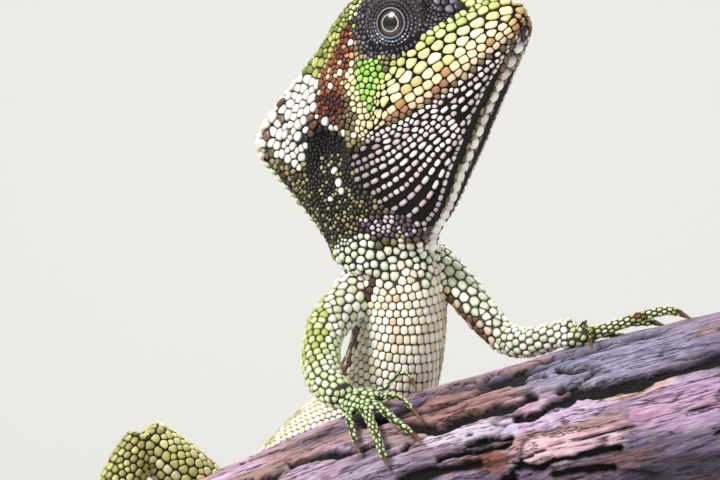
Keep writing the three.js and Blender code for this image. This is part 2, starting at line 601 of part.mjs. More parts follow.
// Each solid becomes a named mesh in one group, lifted so that the base stands on the floor.
function meshOf(name, solid, look) {
  const { vertProperties, triVerts, numProp } = solid.getMesh();
  const geometry = new THREE.BufferGeometry();
  const points = [];
  for (let i = 0; i < vertProperties.length; i += numProp) {
    points.push(vertProperties[i], vertProperties[i + 1], vertProperties[i + 2]);
  }
  geometry.setAttribute("position", new THREE.Float32BufferAttribute(points, 3));
  geometry.setIndex(new THREE.BufferAttribute(triVerts, 1));
  const material = new THREE.MeshStandardMaterial({ color: COLOUR[look], roughness: 0.7, metalness: 0 });
  const mesh = new THREE.Mesh(geometry, material);
  mesh.name = name;
  return mesh;
}

const basilisk = new THREE.Group();
basilisk.position.z = EYE_LEVEL_ZERO;
for (const [name, [solid, look]] of solids) basilisk.add(meshOf(name, solid, look));

export default basilisk;
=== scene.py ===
"""A helmeted basilisk, life size, gripping a sloping length of branch on a small display stand.

Written in millimetres measured from a point 136 mm over the floor, and stored in metres.
"""
import math

import bpy
import numpy as np
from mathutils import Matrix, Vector
from mathutils.bvhtree import BVHTree
from mathutils.kdtree import KDTree


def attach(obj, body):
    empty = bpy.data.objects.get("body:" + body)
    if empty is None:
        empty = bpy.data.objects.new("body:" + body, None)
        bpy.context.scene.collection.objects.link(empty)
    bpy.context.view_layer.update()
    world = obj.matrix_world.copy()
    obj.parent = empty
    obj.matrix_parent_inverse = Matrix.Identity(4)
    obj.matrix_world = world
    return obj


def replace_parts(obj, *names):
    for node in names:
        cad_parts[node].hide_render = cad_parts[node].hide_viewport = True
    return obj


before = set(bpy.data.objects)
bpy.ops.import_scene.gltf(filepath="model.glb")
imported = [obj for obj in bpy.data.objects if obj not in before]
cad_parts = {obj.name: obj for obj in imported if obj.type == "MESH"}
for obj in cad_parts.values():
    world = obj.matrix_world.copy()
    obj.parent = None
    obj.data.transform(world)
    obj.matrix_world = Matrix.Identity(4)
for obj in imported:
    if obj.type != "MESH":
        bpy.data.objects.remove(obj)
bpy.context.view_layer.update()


# ---- Camera --------------------------------------------------------------------------------
# A long lens, level with the eye of somebody close in front of the branch. One millimetre at
# the middle line of the branch is 7.5 pixels of the picture, whose middle is the zero point.
ZERO = 136.0
LENS, SENSOR, DISTANCE = 200.0, 36.0, 533.0
PX_PER_MM = 7.5
lens = bpy.data.cameras.new("camera")
lens.lens, lens.sensor_width = LENS, SENSOR
camera = bpy.data.objects.new("camera", lens)
camera.location = (0, -DISTANCE / 1000, ZERO / 1000)
camera.rotation_euler = (math.pi / 2, 0, 0)
bpy.context.scene.collection.objects.link(camera)
bpy.context.scene.camera = camera


# ---- Floor and backdrop --------------------------------------------------------------------
# A seamless sheet of pale studio paper, which runs up behind the model in one wide curve.
# It is matt, so nothing shows in it but a soft shadow.
def linear(code):
    """An sRGB hex colour as linear red, green and blue."""
    parts = np.array([int(code[i:i + 2], 16) / 255 for i in (1, 3, 5)])
    return np.where(parts <= 0.04045, parts / 12.92, ((parts + 0.055) / 1.055) ** 2.4)


def add(tree, kind, inputs=None, stops=None, **settings):
    """Adds one node, with its settings, its values or links, and the stops of a ramp."""
    node = tree.nodes.new(kind)
    for key, value in settings.items():
        setattr(node, key, value)
    for key, value in (inputs or {}).items():
        if isinstance(value, bpy.types.NodeSocket):
            tree.links.new(value, node.inputs[key])
        else:
            node.inputs[key].default_value = value
    if stops:
        ramp = node.color_ramp.elements
        while len(ramp) < len(stops):
            ramp.new(0.5)
        for element, (place, code) in zip(ramp, stops):
            element.position = place
            element.color = (*linear(code), 1)
    return node


def new_tree(name):
    material = bpy.data.materials.new(name)
    material.use_nodes = True
    material.node_tree.nodes.clear()
    return material, material.node_tree


def finish(tree, shader):
    add(tree, "ShaderNodeOutputMaterial", {"Surface": shader.outputs[0]})


def new_piece(name, points, faces, material, smooth=True):
    """A mesh from points in millimetres and arrays of faces, as one new object."""
    points = (np.asarray(points, float) + [0, 0, ZERO]) / 1000
    mesh = bpy.data.meshes.new(name)
    mesh.vertices.add(len(points))
    mesh.vertices.foreach_set("co", points.astype(np.float32).ravel())
    loops = np.concatenate([f.ravel() for f in faces]).astype(np.int32)
    sizes = np.concatenate([np.full(len(f), f.shape[1]) for f in faces])
    mesh.loops.add(len(loops))
    mesh.loops.foreach_set("vertex_index", loops)
    mesh.polygons.add(len(sizes))
    mesh.polygons.foreach_set("loop_start", np.concatenate([[0], np.cumsum(sizes)[:-1]]).astype(np.int32))
    mesh.polygons.foreach_set("use_smooth", np.full(len(sizes), smooth))
    mesh.update(calc_edges=True)
    mesh.validate()
    piece = bpy.data.objects.new(name, mesh)
    bpy.context.scene.collection.objects.link(piece)
    if material:
        mesh.materials.append(material)
    return piece


def strip_faces(rows, columns, closed=False):
    """Quads over a grid of points in rows, joined round where the rows are closed."""
    across = columns if closed else columns - 1
    i, j = np.meshgrid(np.arange(rows - 1), np.arange(across), indexing="ij")
    right = (j + 1) % columns
    quads = [i * columns + j, i * columns + right, (i + 1) * columns + right, (i + 1) * columns + j]
    return np.stack(quads, -1).reshape(-1, 4)


SWEEP_RADIUS, SWEEP_FRONT, SWEEP_BACK, SWEEP_TOP, SWEEP_HALF = 600, -2600, 1500, 2400, 3000
bend = np.linspace(0, math.pi / 2, 24)
profile = np.array([[SWEEP_FRONT, 0], *np.stack([SWEEP_BACK + SWEEP_RADIUS * np.sin(bend),
                   SWEEP_RADIUS * (1 - np.cos(bend))], 1), [SWEEP_BACK + SWEEP_RADIUS, SWEEP_TOP]])
sheet = np.concatenate([np.insert(profile, 0, x, 1) for x in (-SWEEP_HALF, SWEEP_HALF)])
sheet[:, 2] -= ZERO
paper, tree = new_tree("matt_studio_paper")
finish(tree, add(tree, "ShaderNodeBsdfPrincipled", {
    "Base Color": (*linear("#C6C5C1"), 1), "Roughness": 0.9, "Specular IOR Level": 0.2}))
new_piece("studio_floor", sheet, [strip_faces(2, len(profile))[:, ::-1]], paper)


# ---- Lights --------------------------------------------------------------------------------
# Soft daylight: one wide light high in front and to the left, which leaves a glint near the
# top of the eye, a weaker one on the right, one from behind, one that only lights the paper,
# and an even pale surround.
def softbox(name, place, target, size, power):
    data = bpy.data.lights.new(name, "AREA")
    data.size, data.energy = size, power
    box = bpy.data.objects.new(name, data)
    box.location = place
    box.rotation_euler = (Vector(target) - Vector(place)).to_track_quat("-Z", "Y").to_euler()
    bpy.context.scene.collection.objects.link(box)


HEART = (0, 0.01, 0.13)
softbox("key_light", (-0.56, -0.52, 0.72), HEART, 0.26, 11)
softbox("fill_light", (0.75, -0.65, 0.3), HEART, 0.6, 2.6)
softbox("back_light", (0.25, 0.75, 0.75), HEART, 0.5, 6)
softbox("backdrop_light", (0, 0.9, 1.6), (0, 2.1, 0.3), 1.2, 30)
world = bpy.data.worlds.new("surround")
world.use_nodes = True
world.node_tree.nodes["Background"].inputs["Color"].default_value = (*linear("#F1F1EE"), 1)
world.node_tree.nodes["Background"].inputs["Strength"].default_value = 0.5
bpy.context.scene.world = world
bpy.context.scene.view_settings.view_transform = "Standard"


# ---- Display base and rods -----------------------------------------------------------------
# A block of ebonised beech, sanded, stained nearly black and waxed, with eased edges. The two
# rods are drawn brass, let into it, and carry the branch.
ebonised, tree = new_tree("ebonised_beech_waxed")
where = add(tree, "ShaderNodeTexCoord")
stretch = add(tree, "ShaderNodeMapping", {"Vector": where.outputs["Object"], "Scale": (1, 14, 14)})
grain = add(tree, "ShaderNodeTexNoise", {"Vector": stretch.outputs[0], "Scale": 110, "Detail": 5})
tone = add(tree, "ShaderNodeValToRGB", {"Fac": grain.outputs["Fac"]},
           stops=[(0.3, "#15110F"), (0.7, "#2C2420")])
pores = add(tree, "ShaderNodeBump", {"Height": grain.outputs["Fac"], "Strength": 0.15, "Distance": 0.0002})
finish(tree, add(tree, "ShaderNodeBsdfPrincipled", {
    "Base Color": tone.outputs["Color"], "Roughness": 0.42, "Normal": pores.outputs[0],
    "Coat Weight": 0.15, "Coat Roughness": 0.3}))
drawn_brass, tree = new_tree("drawn_brass")
where = add(tree, "ShaderNodeTexCoord")
stretch = add(tree, "ShaderNodeMapping", {"Vector": where.outputs["Object"], "Scale": (1, 1, 0.02)})
draw_lines = add(tree, "ShaderNodeTexNoise", {"Vector": stretch.outputs[0], "Scale": 3000, "Detail": 2})
tone = add(tree, "ShaderNodeValToRGB", {"Fac": draw_lines.outputs["Fac"]},
           stops=[(0.3, "#A98B52"), (0.7, "#C2A468")])
finish(tree, add(tree, "ShaderNodeBsdfPrincipled", {
    "Base Color": tone.outputs["Color"], "Metallic": 1.0, "Roughness": 0.3}))
for node, material in (("stand_base", ebonised), ("stand_rod_1", drawn_brass), ("stand_rod_2", drawn_brass)):
    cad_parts[node].data.materials.clear()
    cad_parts[node].data.materials.append(material)


# ---- Branch --------------------------------------------------------------------------------
# A cut length of a living branch, 26 mm thick, with its bark on. The bark has split along the
# grain into long plates, pinkish and lilac grey on top, with black cracks between them.
BRANCH = np.array([[-64, -68.5], [-50, -60.5], [-36, -53], [-22, -46], [-8, -39.6], [5.3, -34.4],
                   [18.7, -30.6], [32, -26.8], [48, -22.6], [66, -18]])
BRANCH_RADIUS = 13.0


def spline(rows, t):
    """A smooth curve through rows of numbers, for an array of t from 0 to 1."""
    rows = np.asarray(rows, float)
    place = np.clip(np.asarray(t, float), 0, 1) * (len(rows) - 1)
    i = np.minimum(place.astype(int), len(rows) - 2)
    u = (place - i)[..., None]
    a, b = rows[np.maximum(i - 1, 0)], rows[i]
    c, d = rows[i + 1], rows[np.minimum(i + 2, len(rows) - 1)]
    return 0.5 * (2 * b + (c - a) * u + (2 * a - 5 * b + 4 * c - d) * u ** 2
                  + (3 * b - a - 3 * c + d) * u ** 3)


def unit(v):
    return v / np.maximum(np.linalg.norm(v, axis=-1, keepdims=True), 1e-12)


def noise(points, size, seed=0, octaves=1):
    """Smooth noise between -1 and 1 with lumps of a size in millimetres."""
    total, weight = 0, 0
    for octave in range(octaves):
        place = np.asarray(points) / (np.asarray(size, float) / 2 ** octave) + 31.7 * (seed + octave)
        low = np.floor(place).astype(np.int64)
        u = place - low
        u = u * u * (3 - 2 * u)
        value = 0
        for corner in np.ndindex(2, 2, 2):
            key = (low + corner) * [73856093, 19349663, 83492791]
            mixed = (key[..., 0] ^ key[..., 1] ^ key[..., 2] ^ (seed * 2654435)) & 0xFFFFFF
            mixed = (mixed * 1103515245 + 12345 ^ mixed >> 7) & 0xFFFFFF
            share = np.prod(np.where(corner, u, 1 - u), axis=-1)
            value = value + share * (mixed / 0x7FFFFF - 1)
        total, weight = total + value / 2 ** octave, weight + 1 / 2 ** octave
    return total / weight


def branch_at(t):
    """Middle, forward and upward directions of the branch."""
    middle, ahead = spline(BRANCH, t), unit(spline(BRANCH, t + 0.01) - spline(BRANCH, t - 0.01))
    flat = np.zeros(len(t))
    return (np.stack([middle[:, 0], flat, middle[:, 1]], 1),
            np.stack([ahead[:, 0], flat, ahead[:, 1]], 1),
            np.stack([-ahead[:, 1], flat, ahead[:, 0]], 1))


def picture_place(points):
    """Where points in millimetres show in the 720 by 480 picture, in pixels."""
    near = DISTANCE / (DISTANCE + points[:, 1])
    return 360 + PX_PER_MM * points[:, 0] * near, 240 - PX_PER_MM * points[:, 2] * near


def from_line(u, v, line, steps=60):
    """Distance in pixels from a curved line through a few places of the picture."""
    curve = spline(line, np.linspace(0, 1, steps))
    return np.min(np.hypot(u[:, None] - curve[None, :, 0], v[:, None] - curve[None, :, 1]), 1)


def paint_points(piece, name, colours):
    layer = piece.data.attributes.new(name, "FLOAT_COLOR", "POINT")
    layer.data.foreach_set("color", np.column_stack([colours, np.ones(len(colours))]).astype(np.float32).ravel())


# The long cracks of the front: half width in pixels, then places along each in the picture.
CRACKS = [(3.4, [(408, 420), (437, 425), (461, 416), (482, 408), (511, 402), (531, 392)]),
          (3.0, [(516, 416), (535, 412), (551, 401), (571, 395), (578, 386), (604, 383), (627, 377), (647, 373)]),
          (3.6, [(578, 390), (604, 388), (645, 379), (651, 374), (669, 368), (700, 361), (726, 352)]),
          (1.8, [(559, 387), (575, 381), (592, 369)]), (2.0, [(469, 443), (492, 438), (511, 436)]),
          (2.0, [(439, 458), (461, 452), (486, 449), (510, 442)]),
          (3.6, [(404, 480), (429, 472), (451, 468), (478, 462)]),
          (2.6, [(520, 465), (541, 468), (555, 461), (576, 459), (592, 453), (620, 449)]),
          (2.6, [(557, 475), (584, 471), (614, 470)]), (1.6, [(556, 364), (567, 367), (596, 361)]),
          (1.6, [(511, 377), (526, 374), (543, 370)]), (2.6, [(290, 462), (318, 452), (352, 448), (380, 438)])]
# Weathered plates of the front, with a painted highlight (the pale one at 622, 389) and a painted
# shadow (the dark one low on the right at 692, 470) among them: a colour, then middle, half width,
# half height and lean.
BARK_BLOTCHES_AND_PAINTED_LIGHT = [("#A8A4C0", 610, 356, 84, 22, -15), ("#B98A80", 455, 400, 56, 16, -12), ("#E2DBE6", 470, 430, 52, 12, -10),
            ("#EAD4D8", 560, 447, 62, 16, -10), ("#EBD2BA", 622, 389, 50, 8, -14), ("#CFB9CF", 684, 402, 58, 28, -16),
            ("#D6CADC", 556, 412, 60, 13, -14), ("#9A5638", 490, 462, 15, 11, 0), ("#3A3442", 692, 470, 72, 16, -9),
            ("#C6B8C8", 350, 462, 60, 20, -14)]
ALONG, AROUND = 600, 280
t = np.repeat(np.linspace(0, 1, ALONG), AROUND)
angle = np.tile(np.arange(AROUND) / AROUND * 2 * math.pi, ALONG)
middle, ahead, up = branch_at(t)
facing = np.cos(angle)[:, None] * np.array([0, -1.0, 0]) + np.sin(angle)[:, None] * up
swell = 1 + 0.0225 * np.sin(3 * angle + 1.1 + middle[:, 0] / 19)
round_place = np.stack([t * 152, BRANCH_RADIUS * np.cos(angle), BRANCH_RADIUS * np.sin(angle)], 1)
drift = round_place + np.stack([0 * t, *(1.1 * noise(round_place, (16, 7, 7), k, 3) for k in (1, 2))], 1)
ragged = noise(round_place, (2.2, 0.9, 0.9), 12, 2)
wide = np.abs(noise(drift, (46, 5.2, 5.2), 3, 2) + 0.035 * ragged)
middling = np.abs(noise(drift, (22, 2.6, 2.6), 4, 2) + 0.05 * ragged)
bark_u, bark_v = picture_place(middle + facing * BRANCH_RADIUS)
front = np.clip((3 - BRANCH_RADIUS * facing[:, 1]) / 3, 0, 1) * (facing[:, 1] < 0.25)
open_here = 0.055 + 0.085 * noise(round_place, (26, 7, 7), 15) - 0.05 * front
crack = np.clip(1.5 - 1.5 * wide / np.maximum(open_here, 0.02), 0, 1)
rough_u, rough_v = bark_u + 2.5 * noise(round_place, 2.6, 17, 2), bark_v + 2.2 * noise(round_place, 1.5, 18, 2)
for half, line in CRACKS:
    opened = half * (1.2 + 0.8 * noise(round_place, 3.5, 19, 2))
    crack = np.maximum(crack, front * np.clip(1.7 - from_line(rough_u, rough_v, line) / opened, 0, 1))
hairline = np.clip(1 - middling / 0.05, 0, 1) * np.clip(0.35 + 1.6 * noise(round_place, (20, 6, 6), 5), 0, 1)
steps = 3.2 * noise(drift, (30, 4.4, 4.4), 6, 3)
step_part = steps - np.floor(steps)
plate = (np.floor(steps) + np.clip((step_part - 0.5) / 0.16 + 0.5, 0, 1)) / 3.2
flake = noise(drift, (5, 0.9, 0.9), 7, 2)
depth = 0.5 + 1.2 * crack + 0.5 * hairline - 0.42 * plate - 0.14 * flake
radius = BRANCH_RADIUS * swell - np.clip(depth, 0, 1.9)
bark_points = middle + facing * radius[:, None]
# Painted light: the tone is lighter on top and darker underneath. It is also lighter on raised plates and varies at
# random.
weathering_and_top_light = 0.5 + 0.28 * plate + 0.34 * noise(round_place, (24, 6, 6), 9, 3) + 0.12 * np.sin(angle)
stages = [(0.08, "#4E332E"), (0.27, "#8A5F54"), (0.42, "#857A98"), (0.55, "#A890A6"), (0.68, "#BE9C94"),
          (0.8, "#CDBCD0"), (0.94, "#E6D6D6")]
bark_tone = np.stack([np.interp(weathering_and_top_light, [w for w, _ in stages], [linear(code)[k] for _, code in stages])
                      for k in range(3)], 1)
# The blotches, including the painted highlight and the painted shadow, are laid over the tone of the front.
for code, pu, pv, broad, tall, lean in BARK_BLOTCHES_AND_PAINTED_LIGHT:
    c, s = math.cos(math.radians(lean)), math.sin(math.radians(lean))
    du, dv = rough_u + 6 * noise(round_place, 5, 22) - pu, rough_v + 5 * noise(round_place, 3, 23, 2) - pv
    cover = np.clip((1.2 - np.hypot((du * c + dv * s) / broad, (dv * c - du * s) / tall)) / 0.4, 0, 0.8) * front
    bark_tone += (linear(code) - bark_tone) * cover[:, None]
bark_mat, tree = new_tree("fissured_bark")
# Dead bark is matt and fibrous. Fibres are about 0.3 mm thick and some 3 mm long, and the short
# black splits between them about 5 mm; weathering gives lilac, grey and salmon blotches. The tint
# also holds painted light: a lighter top, a darker underside, a painted highlight and a painted shadow.
split = add(tree, "ShaderNodeAttribute", attribute_name="crack")
tone_at = add(tree, "ShaderNodeAttribute", attribute_name="tint")
where = add(tree, "ShaderNodeAttribute", attribute_name="along_grain")
laid = add(tree, "ShaderNodeMapping", {"Vector": where.outputs["Vector"], "Scale": (0.13, 1.5, 1.5)})
splits = add(tree, "ShaderNodeTexNoise", {"Vector": laid.outputs[0], "Scale": 1.0, "Detail": 5, "Roughness": 0.6})
thin_line = add(tree, "ShaderNodeValToRGB", {"Fac": splits.outputs["Fac"]}, stops=[
    (0.40, "#000000"), (0.425, "#FFFFFF"), (0.435, "#FFFFFF"), (0.46, "#000000")])
fibre_laid = add(tree, "ShaderNodeMapping", {"Vector": where.outputs["Vector"], "Scale": (0.5, 3.5, 3.5)})
fibre = add(tree, "ShaderNodeTexNoise", {"Vector": fibre_laid.outputs[0], "Scale": 1.0, "Detail": 4})
strand = add(tree, "ShaderNodeValToRGB", {"Fac": fibre.outputs["Fac"]}, stops=[
    (0.3, "#5E5A5E"), (0.5, "#8A888A"), (0.7, "#B8B4B8")])
tone = add(tree, "ShaderNodeMix", {0: 0.8, 6: tone_at.outputs["Color"], 7: strand.outputs["Color"]},
           data_type="RGBA", blend_type="OVERLAY")
lined = add(tree, "ShaderNodeMath", {0: thin_line.outputs["Color"], 1: 0.85}, operation="MULTIPLY")
all_dark = add(tree, "ShaderNodeMath", {0: lined.outputs[0], 1: split.outputs["Fac"]}, operation="MAXIMUM")
dark = add(tree, "ShaderNodeMix", {0: all_dark.outputs[0], 6: tone.outputs[2],
                                   7: (*linear("#0E090A"), 1)}, data_type="RGBA")
heights = add(tree, "ShaderNodeMath", {0: lined.outputs[0], 1: -1.3, 2: fibre.outputs["Fac"]}, operation="MULTIPLY_ADD")
rough = add(tree, "ShaderNodeBump", {"Height": heights.outputs[0], "Strength": 0.7, "Distance": 0.00035})
finish(tree, add(tree, "ShaderNodeBsdfPrincipled", {
    "Base Color": dark.outputs[2], "Roughness": 0.78, "Specular IOR Level": 0.3, "Normal": rough.outputs[0]}))
bark = new_piece("branch_bark", bark_points, [strip_faces(ALONG, AROUND, True)[:, ::-1]], bark_mat)
paint_points(bark, "tint", bark_tone)
bark.data.attributes.new("crack", "FLOAT", "POINT").data.foreach_set(
    "value", np.clip(1.5 * crack + 0.9 * hairline, 0, 1).astype(np.float32))
bark.data.attributes.new("along_grain", "FLOAT_VECTOR", "POINT").data.foreach_set(
    "vector", drift.astype(np.float32).ravel())
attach(bark, "root")
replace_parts(bark, "perch_branch")

# The sawn ends show pale wood with yearly rings about 1.2 mm wide round a small pith.
end_grain, tree = new_tree("sawn_end_grain")
ring = add(tree, "ShaderNodeAttribute", attribute_name="from_pith")
wave = add(tree, "ShaderNodeMath", {0: ring.outputs["Fac"], 1: 2 * math.pi / 1.2}, operation="MULTIPLY")
wave = add(tree, "ShaderNodeMath", {0: wave.outputs[0]}, operation="SINE")
wave = add(tree, "ShaderNodeMath", {0: wave.outputs[0], 1: 0.25, 2: 0.5}, operation="MULTIPLY_ADD")
tone = add(tree, "ShaderNodeValToRGB", {"Fac": wave.outputs[0]}, stops=[(0.25, "#8C6A4C"), (0.7, "#C4A27A")])
finish(tree, add(tree, "ShaderNodeBsdfPrincipled", {"Base Color": tone.outputs["Color"], "Roughness": 0.75}))
for number, row in ((1, 0), (2, ALONG - 1)):
    rim = bark_points[row * AROUND:(row + 1) * AROUND]
    heart = middle[row * AROUND]
    shares = np.linspace(1, 0, 30)[:, None, None]
    disc = (heart + (rim - heart)[None] * shares).reshape(-1, 3)
    faces = strip_faces(30, AROUND, True)
    end = new_piece(f"branch_cut_{number}", disc, [faces if row else faces[:, ::-1]], end_grain)
    far = np.linalg.norm(disc - heart, axis=1) * (1 + 0.06 * noise(disc, 9, 2))
    end.data.attributes.new("from_pith", "FLOAT", "POINT").data.foreach_set("value", far.astype(np.float32))
    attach(end, "root")
    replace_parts(end, "perch_branch")


# ---- Skin ----------------------------------------------------------------------------------
# One skin over the whole animal, from the snout to the toes and the tip of the tail. It is
# dark, and shows only as thin lines between the scales, in the mouth line and in the folds.
HEAD = np.array([
    [22.2, 29.8, 22.2, 29.6, 0.2, 0.2, 0.2, 0.2, 0.2, 0],
    [21.5, 31.2, 21.8, 27.4, 1.9, 2.6, 3.0, 3.1, 3.1, 0],
    [18.9, 32.4, 20.3, 24.3, 2.8, 3.5, 4.0, 4.3, 4.6, 0],
    [15.0, 33.3, 18.9, 21.6, 3.6, 4.3, 4.9, 5.3, 5.7, 0],
    [10.7, 34.4, 17.8, 19.2, 4.6, 5.0, 5.8, 6.0, 6.3, 0],
    [6.0, 35.0, 16.7, 16.8, 5.4, 5.6, 6.6, 6.5, 6.6, 0],
    [1.6, 33.8, 15.7, 14.2, 5.6, 6.0, 7.2, 6.7, 6.6, 0],
    [-2.0, 30.4, 14.6, 11.5, 5.2, 6.3, 7.4, 6.6, 6.5, 0],
    [-5.1, 25.8, 13.6, 9.2, 4.0, 6.1, 7.4, 6.3, 6.2, 0],
    [-8.2, 22.0, 12.8, 7.0, 2.8, 5.2, 6.7, 5.9, 5.7, 0],
    [-11.2, 18.2, 12.0, 4.9, 2.0, 4.6, 5.4, 5.4, 5.0, 0],
    [-13.5, 14.8, 11.1, 3.1, 1.5, 3.9, 4.1, 5.1, 4.6, 0],
    [-13.4, 11.6, 10.2, 1.6, 1.3, 3.4, 3.8, 4.9, 4.2, 0.1],
    [-10.4, 8.0, 9.7, 0.2, 1.4, 3.4, 4.2, 5.0, 4.4, 0.3],
    [-7.0, 3.8, 9.8, -1.2, 2.0, 4.0, 5.0, 5.4, 4.8, 0.6],
    [-4.2, 0, 10.4, -2.8, 3.2, 5.0, 5.9, 6.0, 5.2, 0.9],
    [-2.4, -4.2, 10.8, -6.4, 4.0, 5.6, 6.2, 6.2, 5.4, 1],
])
HEAD_LEVELS = np.array([0, 0.06, 0.22, 0.42, 0.62, 0.86, 1])
HEAD_TURN = math.radians(25)
HEAD_MIDDLE_X, HEAD_MIDDLE_Y, NECK_MIDDLE_Y = 4.0, 8.0, 12.5
NEAR = np.array([-math.sin(HEAD_TURN), -math.cos(HEAD_TURN), 0])


def head_point(t, s, side, share=1.0, grow=0.0):
    """A place on head and neck: s runs from crown to throat, side is 1 near and -1 far."""
    row = spline(HEAD, t)
    x = row[:, 0] + (row[:, 2] - row[:, 0]) * s
    z = row[:, 1] + (row[:, 3] - row[:, 1]) * s
    head_y = HEAD_MIDDLE_Y - (x - HEAD_MIDDLE_X) * math.tan(HEAD_TURN)
    middle = np.stack([x, head_y + (NECK_MIDDLE_Y - head_y) * row[:, 9], z], 1)
    widths = np.concatenate([row[:, 4:5], row[:, 4:9], row[:, 8:9]], 1)
    i = np.clip(np.searchsorted(HEAD_LEVELS, s, side="left"), 1, 6)
    u = (s - HEAD_LEVELS[i - 1]) / (HEAD_LEVELS[i] - HEAD_LEVELS[i - 1])
    ease = 0.5 * u + 0.5 * u * u * (3 - 2 * u)
    n = np.arange(len(s))
    width = widths[n, i - 1] + (widths[n, i] - widths[n, i - 1]) * ease
    bend = (2 * np.sqrt(np.maximum(s * (1 - s), 0))) ** (0.45 - 0.25 * s)
    centre = np.stack([(row[:, 0] + row[:, 2]) / 2, middle[:, 1], (row[:, 1] + row[:, 3]) / 2], 1)
    centre = centre + (middle - centre) * np.broadcast_to(share, len(s))[:, None]
    return centre + NEAR * ((width + grow) * bend * side * share)[:, None]


TORSO = np.array([
    [4.0, 12.0, 1.5, 3.6, 4.2, 4.4], [4.8, 13.2, -2.5, 6.0, 7.2, 6.6], [5.4, 14.4, -7.5, 6.5, 8.6, 7.6],
    [5.3, 15.6, -13, 6.5, 9.4, 8.4], [4.0, 17.4, -19, 6.9, 9.8, 9.4], [0.6, 19.8, -25.5, 8.0, 10.2, 10.2],
    [-5.6, 22.2, -32.5, 8.5, 10.0, 10.0], [-13, 24.0, -39.5, 7.4, 8.6, 8.6],
    [-20, 25.2, -46, 5.4, 6.2, 6.2], [-26, 26.0, -52, 3.8, 4.2, 4.2]])


def torso_point(t, angle, share=1.0, grow=0.0):
    """A place on the trunk: angle 0 is the ridge of the back and pi the belly."""
    row = spline(TORSO, t)
    ahead = unit(spline(TORSO[:, :3], t + 0.01) - spline(TORSO[:, :3], t - 0.01))
    back = unit(np.array([0, 1.0, 0]) - ahead * ahead[:, 1:2])
    side = np.cross(ahead, back)
    c, s = np.cos(angle), np.sin(angle)
    depth = np.where(c > 0, row[:, 4], row[:, 5]) + grow
    roof = 1 - 0.3 * np.maximum(0, c) ** 2
    return (row[:, :3] + back * (depth * c * share)[:, None]
            + side * ((row[:, 3] + grow) * s * roof * share)[:, None])


def tube_point(rows, t, angle, share=1.0, grow=0.0):
    """A place on a round limb, finger or tail given as rows of x, y, z and radius."""
    row = spline(rows, t)
    ahead = unit(spline(rows, t + 0.01)[:, :3] - spline(rows, t - 0.01)[:, :3])
    side = unit(np.cross([0.31, 0.9, 0.2], ahead))
    up = np.cross(ahead, side)
    radius = ((row[:, 3] + grow) * share)[:, None]
    return row[:, :3] + side * radius * np.cos(angle)[:, None] + up * radius * np.sin(angle)[:, None]


